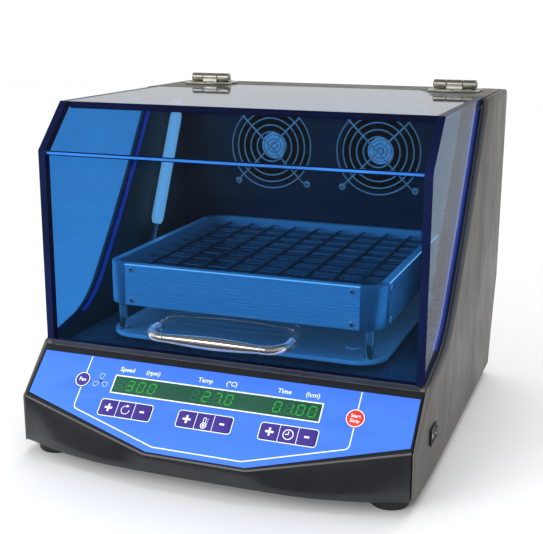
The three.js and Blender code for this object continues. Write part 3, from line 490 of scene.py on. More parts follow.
def circle(cx, cy, radius, count=48, start=0.0, end=2 * math.pi):
    full = abs(end - start) >= 2 * math.pi - 1e-6
    steps = count if full else count - 1
    return [(cx + radius * math.cos(start + (end - start) * i / steps),
             cy + radius * math.sin(start + (end - start) * i / steps)) for i in range(count)]


def rounded(half_x, half_y, radius, cx=0.0, cy=0.0, count=10):
    pts = []
    for k, (sx, sy) in enumerate(((1, 1), (-1, 1), (-1, -1), (1, -1))):
        pts += circle(cx + sx * (half_x - radius), cy + sy * (half_y - radius), radius, count,
                      k * math.pi / 2, (k + 1) * math.pi / 2)
    return pts


def quadratic(a, ctrl, b, count):
    return [tuple((1 - t) ** 2 * a[k] + 2 * t * (1 - t) * ctrl[k] + t * t * b[k] for k in (0, 1))
            for t in (i / count for i in range(1, count + 1))]


def lettering(text, size, cx, cy, z, bold):
    curve = bpy.data.curves.new("t", "FONT")
    curve.body, curve.size, curve.align_x, curve.align_y = text, size, "CENTER", "CENTER"
    curve.extrude, curve.offset, curve.resolution_u = 0.03, bold, 3
    return moved(curve_mesh(curve), at(cx, cy, z))


def stroke(points, width, z0, z1, closed=False):
    """Flat printed line of even width along 2D points."""
    pts = [Vector(p) for p in points]
    n = len(pts)
    left, right = [], []
    for i in range(n):
        prev = pts[i - 1] if (i or closed) else None
        nxt = pts[(i + 1) % n] if (i < n - 1 or closed) else None
        d1 = (pts[i] - prev).normalized() if prev is not None else (nxt - pts[i]).normalized()
        d2 = (nxt - pts[i]).normalized() if nxt is not None else d1
        n1, n2 = Vector((-d1.y, d1.x)), Vector((-d2.y, d2.x))
        m = (n1 + n2).normalized()
        k = width / 2 / max(0.35, m.dot(n1))
        left.append(pts[i] + m * k)
        right.append(pts[i] - m * k)
    bm = bmesh.new()
    rows = [[bm.verts.new((p.x, p.y, z)) for p in side]
            for side in (left, right) for z in (z0, z1)]
    ll, lh, rl, rh = rows
    for i in range(n if closed else n - 1):
        j = (i + 1) % n
        bm.faces.new((lh[i], rh[i], rh[j], lh[j]))
        bm.faces.new((ll[j], rl[j], rl[i], ll[i]))
        bm.faces.new((ll[i], lh[i], lh[j], ll[j]))
        bm.faces.new((rh[i], rl[i], rl[j], rh[j]))
    if not closed:
        for i in (0, n - 1):
            bm.faces.new((ll[i], rl[i], rh[i], lh[i]))
    return from_bmesh(bm)


def cross(reach, half, z0, z1):
    """Two crossed bars, as in the recess of a screw's head."""
    return [brick(-a, a, -b, b, z0, z1) for a, b in ((reach, half), (half, reach))]


def pan_head(radius, height, first=0):
    """Cross-recessed pan-head screw on local +c, in the material first and the one after it."""
    head = turned([(radius, 0), (radius, height * 0.45), (radius * 0.86, height * 0.8),
                   (radius * 0.5, height), (0, height * 1.02)], 24)
    recess = cross(radius * 0.55, radius * 0.12, height * 0.9, height * 1.06)
    return joined([(head, first)] + [(bar, first + 1) for bar in recess])


def face_towards(direction, place):
    """Matrix that turns local +c to a direction and moves it to a place."""
    return at(*place) @ Vector(direction).to_track_quat("Z", "Y").to_matrix().to_4x4()


# ---------------------------------------------------------------------------------------------
# Camera, light and floor
# ---------------------------------------------------------------------------------------------
def look_along(yaw, pitch, roll):
    forward = Vector((-math.sin(yaw) * math.cos(pitch), math.cos(yaw) * math.cos(pitch),
                      -math.sin(pitch)))
    right = Vector((math.cos(yaw), math.sin(yaw), 0))
    up = right.cross(forward)
    r = right * math.cos(roll) + up * math.sin(roll)
    u = up * math.cos(roll) - right * math.sin(roll)
    return Matrix((r, u, -forward)).transposed().to_4x4()


scene = bpy.context.scene
camera = bpy.data.objects.new("camera", bpy.data.cameras.new("camera"))
# Fitted to the photo's outline: lens, place from the cabinet's front corners, angles in radians
camera.data.lens = 68.6
camera.data.clip_start, camera.data.clip_end = 0.05, 30
CAMERA_X, CAMERA_Y, CAMERA_Z = 0.34094, -0.76264, 0.39426
CAMERA_YAW, CAMERA_PITCH, CAMERA_ROLL = 0.352808, 0.247649, 0.0039526
camera.matrix_world = (at(CAMERA_X, CAMERA_Y - MID_Y / 1000, CAMERA_Z + FOOT / 1000)
                       @ look_along(CAMERA_YAW, CAMERA_PITCH, CAMERA_ROLL))
scene.collection.objects.link(camera)
scene.camera = camera
scene.view_settings.view_transform = "Standard"
scene.view_settings.look = "None"


def area_light(name, place, aim, size, power, mirrored=True):
    lamp = bpy.data.lights.new(name, "AREA")
    lamp.shape, lamp.size, lamp.size_y = "RECTANGLE", *size
    lamp.energy = power
    obj = bpy.data.objects.new(name, lamp)
    obj.matrix_world = face_towards(Vector(place) - Vector(aim), place)
    obj.visible_glossy = mirrored
    scene.collection.objects.link(obj)


area_light("key_box", (-0.75, -1.7, 1.15), (0, 0, 0.15), (1.3, 0.6), 7)
area_light("front_box", (-0.95, -1.7, 0.42), (0, 0.1, 0.15), (1.3, 0.5), 26, mirrored=False)
sun = bpy.data.objects.new("high_sun", bpy.data.lights.new("high_sun", "SUN"))
sun.data.energy, sun.data.angle = 1.6, math.radians(50)
sun.matrix_world = face_towards((0.04, 0.52, 1.0), (0, 0, 2))
sun.visible_glossy = False
scene.collection.objects.link(sun)

# White all round for the eye and for soft light; reflections see a studio that is bright behind
# and at the far left, dim towards the near right and right overhead
world = bpy.data.worlds.new("studio")
scene.world = world
world.use_nodes = True
sky = world.node_tree
sky.nodes.clear()


place = node(sky, "TexCoord").outputs["Generated"]
height = node(sky, "SeparateXYZ", place).outputs["Z"]
along = node(sky, "VectorMath", place, (-0.35, 0.94, 0), operation="DOT_PRODUCT").outputs["Value"]
mirrored = node(sky, "Math", spread(sky, along, 0.28, 0.78, -0.75, 0.35, "SMOOTHSTEP"),
                spread(sky, height, 1.0, 0.18, 0.55, 0.85, "SMOOTHSTEP"), operation="MULTIPLY")
seen, soft, shine = (node(sky, "Background", Color=(1, 1, 1, 1), Strength=k).outputs[0]
                     for k in (1.05, 0.66, mirrored.outputs[0]))
rays = node(sky, "LightPath").outputs
bounced = node(sky, "MixShader", rays["Is Glossy Ray"], soft, shine).outputs[0]
node(sky, "OutputWorld", Surface=node(sky, "MixShader", rays["Is Camera Ray"], bounced,
                                      seen).outputs[0])


def staged(name, x0, x1, y0, y1, z0, z1, look):
    """A slab of the surroundings, in metres."""
    obj = bpy.data.objects.new(name, brick(x0, x1, y0, y1, z0, z1))
    obj.data.materials.append(look)
    scene.collection.objects.link(obj)
    return obj


staged("floor", -4, 4, -4, 4, -0.02, 0,
       surface("floor", (0.93, 0.93, 0.93), 0.6, vary=0.01, cloud=2, specular=0.1))
# A dark card on the floor in front, out of view: only mirrored in the hood and the handle
card = staged("dark_card", -3, 3, -3.5, -0.24, 0.001, 0.002,
              surface("card", (0.02, 0.018, 0.016), 0.9, cloud=2))
for unseen in ("visible_camera", "visible_diffuse", "visible_shadow", "visible_transmission"):
    setattr(card, unseen, False)


# ---------------------------------------------------------------------------------------------
# Cabinet: side panels, fascia, base, rear
# ---------------------------------------------------------------------------------------------
def side_curve():
    pts = [(43.5, 85.4), (70, 90.7), (93.5, 95.4)]
    pts += quadratic((93.5, 95.4), (120.5, 100.6), (142.6, 127.6), 14)
    return pts + quadratic((142.6, 127.6), (212.6, 212.6), (271, TOP), 18)


def rear_outline():
    radius = 8
    pts = circle(REAR_Y - radius, TOP - radius, radius, 10, math.pi / 2, 0)
    pts.append((REAR_Y, 98))
    return pts + quadratic((REAR_Y, 98), (378, 40), (370, 0), 14)


def panel_point(s):
    return PANEL_TOP[0] - s * math.cos(TILT), PANEL_TOP[1] - s * math.sin(TILT)


def plan_half(y):
    """Outer half width of the cabinet: it draws in towards the front corners."""
    if y >= 90:
        return SIDE_HALF
    t = max(0.0, y) / 90
    return CORNER_HALF + (SIDE_HALF - CORNER_HALF) * (1 - (1 - t) ** 1.9)


SWITCH_Y, SWITCH_Z, SWITCH_HY, SWITCH_HZ = 53.5, 41.3, 10.5, 7.65


def side_panel(side):
    """Shaped slab, thinned inside where the base plate and the fascia pass."""
    seam, taper = 181.4, 183          # x of the skin's inner face, and where its drawing in starts
    outline = [(0, 0), panel_point(LIP_CORNER), PANEL_TOP, *side_curve(), *rear_outline()]
    skin = plate([outline], seam, SIDE_HALF, 2.7, ALONG_X, 5)
    bm = bmesh.new()
    bm.from_mesh(skin)
    for y in range(0, 100, 10):
        bmesh.ops.bisect_plane(bm, geom=bm.verts[:] + bm.edges[:] + bm.faces[:],
                               plane_co=(0, y, 0), plane_no=(0, 1, 0))
    for v in bm.verts:
        if v.co.x > taper:
            v.co.x += (plan_half(v.co.y) - SIDE_HALF) * (v.co.x - taper) / (SIDE_HALF - taper)
    bm.to_mesh(skin)
    bm.free()
    if side > 0:
        hy, hz = SWITCH_HY - 0.9, SWITCH_HZ - 0.9
        whole = bpy.data.objects.new("whole", skin)
        scene.collection.objects.link(whole)
        skin = cut_from(whole, brick(180, 190, SWITCH_Y - hy, SWITCH_Y + hy, SWITCH_Z - hz,
                                     SWITCH_Z + hz))
        bpy.data.objects.remove(whole)
    # Inner thickness, behind the hood's line and round the rear cover
    inner = [(HOOD_FRONT + 0.5, 72.4), (HOOD_FRONT + 0.5, 84.6), *side_curve()[1:-1], (262, 296),
             (262, 299.9), (342.8, 299.9), (342.8, TOP), *rear_outline(), (330, 0), (330, 72.4)]
    core = plate([inner], INNER, 181.5, 0.3, ALONG_X, 1)
    mesh = joined([skin, core])
    if side < 0:
        moved(mesh, MIRROR_X)
    return mesh


add("right_side_panel", side_panel(1), BODY_PAINT, "cabinet", smooth=35)
strut_boss = turned([(9, -176), (9, -165.6), (8.4, -165), (3, -165), (3, -157.6), (2.4, -157),
                     (0, -157)], 32, ALONG_X)
moved(strut_boss, at(0, *STRUT_LOW))
add("left_side_panel", joined([side_panel(-1), strut_boss]), BODY_PAINT, "cabinet",
    smooth=35)

# The printed membrane: half width, then distances down the panel, with the half of its low edge
PRINT_HALF, PRINT_TOP, PRINT_SIDE, PRINT_LOW, PRINT_MID = 179.3, 6.5, 51.0, 90.2, 46.0


def print_outline(grow=0.0):
    left = [(-PRINT_HALF - grow, -PRINT_TOP + grow), (-PRINT_HALF - grow, -PRINT_SIDE - grow),
            (-PRINT_MID, -PRINT_LOW - grow)]
    return left + [(-x, y) for x, y in left[::-1]]


FRONT_FOOT = ((0, -24.8), (45, -24.8), (89, -23.6), (117, -19.4), (147, -12.3), (HOOD_HALF, 0))


def front_foot(x):
    """Y of the bowed front edge at floor level."""
    x = abs(x)
    for (x0, y0), (x1, y1) in zip(FRONT_FOOT, FRONT_FOOT[1:]):
        if x <= x1:
            return y0 + (y1 - y0) * (x - x0) / (x1 - x0)
    return FRONT_FOOT[-1][1]


def lip_reach(x):
    x = abs(x)
    return LIP_CENTRE - (LIP_CENTRE - LIP_CORNER) * max(0.0, x - LIP_HALF) / (HOOD_HALF - LIP_HALF)


def fascia_section(x):
    """Cross-section at x: round foot, ruled front, rolled lip with a painted highlight, panel,
    short back.
    """
    foot = sum(front_foot(x + d) for d in (-9, -4.5, 0, 4.5, 9)) / 5 + 0.1
    reach = sum(lip_reach(x + d) for d in (-2, 0, 2)) / 3
    lip, low = Vector(panel_point(reach)), Vector((foot, 3.4))
    down = (low - lip).normalized()
    pts = [(HOOD_FRONT, 0), (foot + 3.2, 0), (foot + 1.0, 1.0), tuple(low)]
    pts += [tuple(low.lerp(lip + down * 1.7, k / 4)) for k in (1, 2, 3, 4)]
    pts += [tuple(lip + down * 0.6 + Vector((0.25, 0.1))), panel_point(reach - 0.35),
            panel_point(reach - 1.5)]
    pts += [panel_point(1.0), (PANEL_TOP[0] - 0.1, PANEL_TOP[1] - 0.3)]
    return pts + [(PANEL_TOP[0] + 0.2, PANEL_TOP[1]), (HOOD_FRONT, PANEL_TOP[1])]


def fascia_mesh():
    bm = bmesh.new()
    xs = sorted({-HOOD_HALF, HOOD_HALF, -LIP_HALF, LIP_HALF, *range(-176, 177, 4)})
    # The rolled lip's facets, which take the painted highlight colour
    lip_highlight_facets = (8, 9)
    rows = [[bm.verts.new((x, *p)) for p in fascia_section(x)] for x in xs]
    for a, b in zip(rows, rows[1:]):
        for i, f in enumerate(bridge(bm, a, b)):
            f.material_index = 1 if i in lip_highlight_facets else 0
    bm.faces.new(rows[0])
    bm.faces.new(rows[-1][::-1])
    return from_bmesh(bm)


fascia = add("front_fascia", fascia_mesh(), [FRONT_PAINT, LIP_HIGHLIGHT], "cabinet", smooth=35)
recess = prism(print_outline(0.35), -1.15, 6)
recess.transform(TO_FRAME @ PANEL)
fascia.data = cut_from(fascia, recess)

for name, look, bevel in (
        ("base_plate", NAVY, 0.3), ("rear_cover", BODY_PAINT, 0.5), ("chamber_floor", LINING, 0.4),
        ("drive_motor", STEEL, 0.5), ("drive_crank", STEEL, 0.5), ("air_heater", ALUMINIUM, 0.3),
        ("control_board", BOARD, 0), ("power_inlet", BLACK, 0.4), ("chamber_back_wall", NAVY, 0.3),
        ("idler_crank_front_left", STEEL, 0.4), ("idler_crank_front_right", STEEL, 0.4),
        ("idler_crank_rear_left", STEEL, 0.4), ("idler_crank_rear_right", STEEL, 0.4)):
    dress(name, look, bevel)

# Thin dark seal on the front of the floor's lip, under the hood's bottom edge
add("hood_seal", brick(-177, 177, HOOD_FRONT + 0.04, HOOD_FRONT + 0.26, PANEL_TOP[1] + 0.3, 86.8),
    SEAL, "cabinet")
# Pressed step line across the back wall
add("back_wall_step", plate([[(-173, 174), (173, 174), (173, 176.4), (-173, 176.4)]], 334.6, 336.2,
                            0.5, BACKWARDS), NAVY, "cabinet")

# Dark woven gauze inside each group of vents
for hand, s in HANDS:
    x = s * FAN_X
    wires = [brick(x + k - 0.28, x + k + 0.28, REAR_Y - 3.9, REAR_Y - 3.5, 198, 282)
             for k in range(-40, 41)]
    wires += [brick(x - 40.3, x + 40.3, REAR_Y - 4.2, REAR_Y - 3.9, FAN_Z + k - 0.28,
                    FAN_Z + k + 0.28) for k in range(-42, 43)]
    backing = brick(x - 41, x + 41, REAR_Y - 4.6, REAR_Y - 4.2, 197, 283)
    add(f"vent_gauze_{hand}", joined([*wires, backing]), BLACK, "cabinet")

# Feet: ribbed rubber pucks
foot_profile = [(0, -8), (6, -8), (7, -9.6), (7.6, -10), (15, -10), (16.2, -9.6), (17, -8.6),
                (17.5, -5), (18, -1.2), (17.6, -0.5), (11, -0.4), (10, 0), (0, 0)]
for end, y in (("front", 18), ("rear", 345)):
    for hand, s in HANDS:
        add(f"foot_{end}_{hand}", moved(turned(foot_profile, 48), at(s * 160, y, 0)), RUBBER,
            "cabinet")

# Rear cover screws
add("rear_screws", joined([moved(pan_head(3.2, 1.6), face_towards((0, 1, 0), (x, REAR_Y, z)))
                           for x in (-160, 0, 160) for z in (120, 282)]),
    [STEEL, BLACK], "cabinet")

# ---------------------------------------------------------------------------------------------
# Control panel: membrane, window, keys and print
# ---------------------------------------------------------------------------------------------
KEY_ROW, KEY_STEP, KEY_HX, KEY_HY = 55.0, 16.6, 7.8, 6.7
KEY_LOW, KEY_FACE, KEY_GAP = -0.7, 0.4, 0.25
GROUPS = (("speed", -78.2), ("temperature", -1.5), ("time", 75.3))
ROUND_KEYS = (("fan", -130.2, 31.4, 7.3), ("start_stop", 128.8, 31.9, 8.2))
WINDOW_HALF, WINDOW_TOP, WINDOW_LOW = 99.4, 22.1, 40.7


def window_outline(grow):
    x, low, high = WINDOW_HALF + grow, -WINDOW_LOW - grow, -WINDOW_TOP + grow
    return [(-x, low), (x, low), (x, high), (-x, high)]


holes = [window_outline(KEY_GAP)]
for _, gx in GROUPS:
    for s in (-1, 1):
        holes.append(rounded(KEY_HX + KEY_GAP, KEY_HY + KEY_GAP, 1.4, gx + s * KEY_STEP, -KEY_ROW,
                             5))
for _, kx, ks, kr in ROUND_KEYS:
    holes.append(circle(kx, -ks, kr + KEY_GAP, 40))
add("panel_overlay", plate([print_outline(), *holes], -1.0, -0.1, 0.15), BLUE, "cabinet",
    local=PANEL)

# The window's pane with its printed white frame
window = plate([window_outline(0)], -1.0, 0.0, 0.12)
window_frame = stroke(window_outline(-0.6), 1.2, -0.05, 0.08, True)
add("display_window", layered([window], [window_frame]), [GREEN_GLASS, WHITE], "cabinet",
    local=PANEL)

SEGMENTS = {"0": "abcdef", "1": "bc", "2": "abdeg", "3": "abcdg", "7": "abc", " ": ""}


def digit(char, cx, cy, width, height):
    """Seven slanted bars, as a list of lit ones and a list of dark ones."""
    lit, dark = [], []
    hw, hh, t, slant = width / 2, height / 2, 1.0, 0.13
    bars = {"a": (0, hh, 1), "d": (0, -hh, 1), "g": (0, 0, 1), "f": (-hw, hh / 2, 0),
            "b": (hw, hh / 2, 0), "e": (-hw, -hh / 2, 0), "c": (hw, -hh / 2, 0)}
    for key, (bx, by, flat) in bars.items():
        run = (hw if flat else hh / 2) - 0.35
        ends = [(-run, 0), (-run + t / 2, t / 2), (run - t / 2, t / 2), (run, 0),
                (run - t / 2, -t / 2), (-run + t / 2, -t / 2)]
        pts = [(bx + (p if flat else q), by + (q if flat else p)) for p, q in ends]
        pts = [(cx + x + slant * y, cy + y) for x, y in pts]
        if not flat:
            pts = pts[::-1]
        (lit if key in SEGMENTS[char] else dark).append(prism(pts, 0.0, 0.06))
    return lit, dark


lit_parts, dark_parts = [], []
# Left end, spacing and characters of each read-out, and the place of its lit point
READOUT = ((-92.5, 10.85, " 300", None), (-18.1, 10.85, " 270", 2), (59.4, 10.5, "0100", 1))
for x0, pitch, chars, point in READOUT:
    for i, char in enumerate(chars):
        x = x0 + i * pitch
        char_lit, char_dark = digit(char, x, -31.4, 6.0, 9.6)
        lit_parts += char_lit
        dark_parts += char_dark
        spot = prism(circle(x + 4.5, -36.3, 0.65, 12), 0.0, 0.06)
        (lit_parts if i == point else dark_parts).append(spot)
add("display_digits", layered(lit_parts, dark_parts), [DIGIT_ON, DIGIT_OFF], "cabinet",
    local=PANEL)

INK = (-0.1, -0.03)        # height of the print above the membrane
KEY_INK = (0.4, 0.46)      # and above a key's face


def plus_sign(cx, cy, z):
    return [stroke([(cx - 3.7, cy), (cx + 3.7, cy)], 1.9, *z),
            stroke([(cx, cy - 3.7), (cx, cy + 3.7)], 1.9, *z)]


def minus_sign(cx, cy, z):
    return [stroke([(cx - 2.2, cy), (cx + 2.2, cy)], 1.8, *z)]


for group, gx in GROUPS:
    for which, s, sign in (("up", -1, plus_sign), ("down", 1, minus_sign)):
        x = gx + s * KEY_STEP
        key = plate([rounded(KEY_HX, KEY_HY, 1.2, x, -KEY_ROW, 6)], KEY_LOW, KEY_FACE, 0.25)
        name = f"key_{group}_{which}"
        add(name, layered([key], sign(x, -KEY_ROW, KEY_INK)), [PURPLE, WHITE], name + "_body",
            local=PANEL)
for (kind, kx, ks, kr), look, slot, words in zip(
        ROUND_KEYS, (PURPLE, RED), ("purple_key", "red_key"),
        ([("Fan", 5.2, 0, 0.08)], [("Start", 4.5, 2.1, 0.06), ("Stop", 4.5, -2.4, 0.06)])):
    cap = plate([circle(kx, -ks, kr, 48)], KEY_LOW, KEY_FACE, 0.25)
    ink = [stroke(circle(kx, -ks, kr - 0.45, 48), 0.8, *KEY_INK, True)]
    ink += [lettering(word, size, kx, -ks + up, 0.43, bold) for word, size, up, bold in words]
    add(f"key_{kind}", layered([cap], ink), [look, WHITE], f"key_{kind}_body", local=PANEL)

legends, violet, pale = [], [], []


def line(*points, width=0.8, closed=False):
    legends.append(stroke(points, width, *INK, closed))


# The long white line that runs down from both round keys and along the lip
LINE_X = 129.3
path = []
for s, (_, _, ks, kr) in zip((-1, 1), ROUND_KEYS):
    line((s * LINE_X, -7.2), (s * LINE_X, 0.35 + kr - ks), width=1.0)
    half_path = [(LINE_X, -0.35 - kr - ks), (LINE_X, -55)]
    half_path += quadratic((LINE_X, -55), (LINE_X, -59.4), (126, -60.6), 6) + [(41.4, -85.2)]
    path += [(s * x, y) for x, y in half_path[::-s]]
line(*path[::-1], width=1.0)
# Round each group a frame, two dividers and a violet ground with holes for the keys
GROUP_HX, GROUP_HY = 24.9, 7.2
for _, gx in GROUPS:
    line(*rounded(GROUP_HX + .9, GROUP_HY + .8, 2.6, gx, -KEY_ROW, 7), width=0.75, closed=True)
    for x in (gx - KEY_STEP / 2, gx + KEY_STEP / 2):
        legends.append(stroke([(x, -KEY_ROW - 7.4), (x, -KEY_ROW + 7.4)], 0.55, -0.1, -0.02))
    violet.append(plate([rounded(GROUP_HX + .5, GROUP_HY + .4, 2.3, gx, -KEY_ROW, 7),
                         *[rounded(KEY_HX + .3, KEY_HY + .3, 1.4, gx + s * KEY_STEP, -KEY_ROW, 5)
                           for s in (-1, 1)]], -0.1, -0.05))
# Middle cells: turning arrow, thermometer, clock
gx, gy = GROUPS[0][1], -KEY_ROW
line(*circle(gx, gy, 3.9, 26, math.radians(85), math.radians(365)), width=0.6)
legends.append(prism([(gx + 0.2, gy + 2.5), (gx + 2.9, gy + 3.9), (gx + 0.2, gy + 5.3)], *INK))
gx = GROUPS[1][1]
tube_half = [(1.2, -1.5), (1.2, 3.0), (0.6, 3.9)]
line(*[(gx - x, gy + y) for x, y in tube_half],
     *[(gx + x, gy + y) for x, y in reversed(tube_half)], width=0.65)
line(*circle(gx, gy - 3.4, 2.5, 24), closed=True)
legends.append(prism(circle(gx, gy - 3.4, 1.4, 20), *INK))
for k in range(3):
    line((gx + 2.2, gy + 3.0 - 2 * k), (gx + 3.4, gy + 3.0 - 2 * k), width=0.5)
gx = GROUPS[2][1]
line(*circle(gx, gy, 4.4, 36), closed=True)
line((gx, gy + 3.0), (gx, gy), (gx - 2.6, gy))
# Fan mark: three blades in pale outline round a hub
MARK_X, MARK_Y = -112.0, -30.6
BLADE = ((1.6, 0), (4.5, 0.5), (7.2, 0.42), (8.0, 0.05), (7.2, -0.3), (4.5, -0.28))
for k in range(3):
    a = math.radians(90 + 120 * k)
    pale.append(stroke([(MARK_X + r * math.cos(a + w), MARK_Y + r * math.sin(a + w))
                        for r, w in BLADE], 0.6, *INK, True))
violet.append(prism(circle(MARK_X, MARK_Y, 1.5, 20), -0.1, -0.02))
for text, x in (("Speed", -89.5), ("(rpm)", -63.6), ("Temp", -12.1), ("(°C)", 12.9),
                ("Time", 62.2), ("(h:m)", 87.9)):
    legends.append(lettering(text, 6.1, x, -16.1, -0.06, 0.09))
add("panel_legends", layered(legends, violet, pale), [WHITE, PURPLE, PALE_BLUE], "cabinet",
    local=PANEL)

# ---------------------------------------------------------------------------------------------
# Power switch
# ---------------------------------------------------------------------------------------------
def switch_outline(inset):
    hy, hz = SWITCH_HY - inset, SWITCH_HZ - inset
    return [(SWITCH_Y + sy * hy, SWITCH_Z + sz * hz)
            for sy, sz in ((-1, -1), (1, -1), (1, 1), (-1, 1))]


bezel = plate([switch_outline(0), switch_outline(2.0)], 187.35, 188.7, 0.35, ALONG_X)
well = plate([switch_outline(1.1), switch_outline(2.0)], 176.0, 187.5, 0.1, ALONG_X, 1)
back = plate([switch_outline(1.2)], 175.6, 178.6, 0.1, ALONG_X, 1)
add("switch_housing", joined([bezel, well, back]), BLACK, "cabinet")
ROCKER_X, ROCKER_TILT = 186.4, -math.radians(9)
paddle = plate([[(-1.5, -8), (2.4, -8), (2.7, -7.4), (1.9, -3), (1.6, 0), (1.9, 3), (2.7, 7.4),
                 (2.4, 8), (-1.5, 8), (-4.4, 0)]], -5.3, 5.3, 0.3)
marks = [moved(mark, face_towards((1, 0, 0), (2.25, y, 0)))
         for y, mark in ((5.0, stroke([(-1.8, 0), (1.8, 0)], 0.7, 0, 0.08)),
                         (-5.0, stroke(circle(0, 0, 1.6, 24), 0.6, 0, 0.08, True)))]
rocker = layered([paddle], marks)
moved(rocker, at(ROCKER_X, SWITCH_Y, SWITCH_Z) @ Matrix.Rotation(ROCKER_TILT, 4, "Z"))
add("power_rocker", rocker, [BLACK, WHITE], "rocker")


# ---------------------------------------------------------------------------------------------
# Fans and their wire guards
# ---------------------------------------------------------------------------------------------
FAN_HALF, FAN_BORE, FAN_Y, FAN_DEPTH = 46.0, 43.5, WALL_Y + 3.3, 25


def fan_plate(outlines, start, end, round_, steps=2):
    """Plate across the fan's axis, between two depths behind the fan's front."""
    return plate(outlines, FAN_Y + start, FAN_Y + end, round_, BACKWARDS, steps)


def fan_frame(x):
    def disc(radius, count):
        return circle(x, FAN_Z, radius, count)

    flange = [rounded(FAN_HALF, FAN_HALF, 4, x, FAN_Z), disc(FAN_BORE, 64)]
    flange += [circle(x + sx * FAN_PITCH / 2, FAN_Z + sz * FAN_PITCH / 2, 2.2, 16)
               for sx, sz in CORNERS]
    parts = [fan_plate(flange, 0, 3.6, 0.4), fan_plate(flange, 21.4, FAN_DEPTH, 0.4),
             fan_plate([disc(45.2, 64), disc(FAN_BORE, 64)], 3.5, 21.5, 0.1, 1),
             fan_plate([disc(17, 40)], 0, 3.5, 0.5)]
    for k in range(4):
        a = math.radians(20 + 90 * k)
        c, s = math.cos(a), math.sin(a)
        arm = [(x + r * c - w * s, FAN_Z + r * s + w * c)
               for r, w in ((15, -2), (44, -1.6), (44, 1.6), (15, 2))]
        parts.append(fan_plate([arm], 0.2, 3, 0.3))
    sticker = fan_plate([disc(14.6, 48)], -0.15, 0.1, 0.03, 1)
    rings = [fan_plate([disc(r, 40), disc(r - w, 40)], -0.22, 0, 0.02, 1)
             for r, w in ((12.6, 0.8), (8.4, 1.0), (4.2, 1.5))]
    return layered(parts, [sticker], rings)


def fan_rotor(x):
    blades, rows, cols, root, tip = 7, 7, 9, 17, 41.5
    parts = [turned([(0, 0), (16.5, 0), (17.6, 0.6), (18, 1.8), (18, 16.4), (17.4, 17), (0, 17)],
                    48, BACKWARDS)]
    for i in range(blades):
        bm = bmesh.new()
        front, rear = [], []
        for r in range(rows):
            out = r / (rows - 1)
            for k in range(cols):
                t = k / (cols - 1)
                spin = 2 * math.pi * i / blades + (t - 0.5) * 0.62 + 0.10 * out
                radius, depth = root + (tip - root) * out, 1.2 + 14.6 * (t ** 1.25)
                v = Vector((radius * math.cos(spin), depth, radius * math.sin(spin)))
                front.append(bm.verts.new(v))
                rear.append(bm.verts.new(v + Vector((0, 1.2, 0))))
        for r in range(rows - 1):
            for k in range(cols - 1):
                quad = [r * cols + k, r * cols + k + 1, (r + 1) * cols + k + 1, (r + 1) * cols + k]
                bm.faces.new([front[q] for q in quad])
                bm.faces.new([rear[q] for q in quad[::-1]])
        top = (rows - 1) * cols
        rims = [(k, k + 1) for k in range(cols - 1)]
        rims += [(top + k, top + k + 1) for k in range(cols - 1)]
        for r in range(rows - 1):
            rims += [(r * cols + k, (r + 1) * cols + k) for k in (0, cols - 1)]
        for a, b in rims:
            bm.faces.new((front[a], front[b], rear[b], rear[a]))
        parts.append(from_bmesh(bm))
    return moved(joined(parts), at(x, FAN_Y + 4.5, FAN_Z))


def fan_guard(x):
    y, half = WALL_Y - 7.0, FAN_PITCH / 2
    parts = [tube([(px, y, pz) for px, pz in circle(x, FAN_Z, radius, 64)], 0.82, 10, True)
             for radius in (16.7, 24.4, 32.1, 39.6, 46.8)]
    for sx, sz in CORNERS:
        def spoke(reach, depth):
            return x + sx * reach, depth, FAN_Z + sz * reach

        wire = [spoke(0, y - 1.4), spoke(half * 0.93, y - 1.4), spoke(half - 1.4, y + 0.6),
                spoke(half, WALL_Y - 1.3)]
        eye = [(px, WALL_Y - 1.3, pz) for px, pz in
               circle(x + sx * half, FAN_Z + sz * half, 2.9, 24)]
        screw = moved(pan_head(3.9, 2.8), face_towards((0, -1, 0), spoke(half, WALL_Y - 0.6)))
        parts += [tube(wire, 0.95, 10), tube(eye, 1.0, 8, True), (screw, None)]
    return joined(parts)


for hand, s in HANDS:
    x = s * FAN_X
    add(f"fan_frame_{hand}", fan_frame(x), [BLACK, STICKER, STICKER_INK], "cabinet")
    add(f"fan_guard_{hand}", fan_guard(x), [WIRE, BLACK], "cabinet")
    add(f"fan_rotor_{hand}", fan_rotor(x), BLACK, f"fan_rotor_{hand}_body")


# ---------------------------------------------------------------------------------------------
# Platform and tray
# ---------------------------------------------------------------------------------------------
deck_parts = [(plate([rounded(TRAY_X2, 128, 28, 0, TRAY_Y, 12)], 87, 91, 0.7), 0)]
for sx, sy in CORNERS:
    post = turned([(5.2, 90.8), (5.2, 92.4), (4.4, 93), (4, 93.4), (4, 117.8), (3.6, 118.3)], 28)
    deck_parts.append((moved(post, at(sx * 122, TRAY_Y + sy * 116, 0)), 1))
# Low caps over the pins of the five cranks
for x, y, r in [(0, 0, 6)] + [(sx * 100, sy * 80 - 10, 4) for sx, sy in CORNERS]:
    cap = turned([(r + 3, 90.8), (r + 3, 91.6), (r + 2.6, 92), (0, 92)], 32)
    deck_parts.append((moved(cap, at(x, y + TRAY_Y, 0)), 0))


def deck_pick(p):
    """Posts keep their own metal; the deck's cut edge gets a painted highlight, a little brighter
    than its faces.
    """
    face = abs(p.normal.z) > 0.9 or p.center.z > (91.1 + FOOT) / 1000
    return p.material_index or (0 if face else 2)


add("platform", joined(deck_parts), [DECK, CHROME, DECK_EDGE_HIGHLIGHT], "carriage",
    pick=deck_pick)


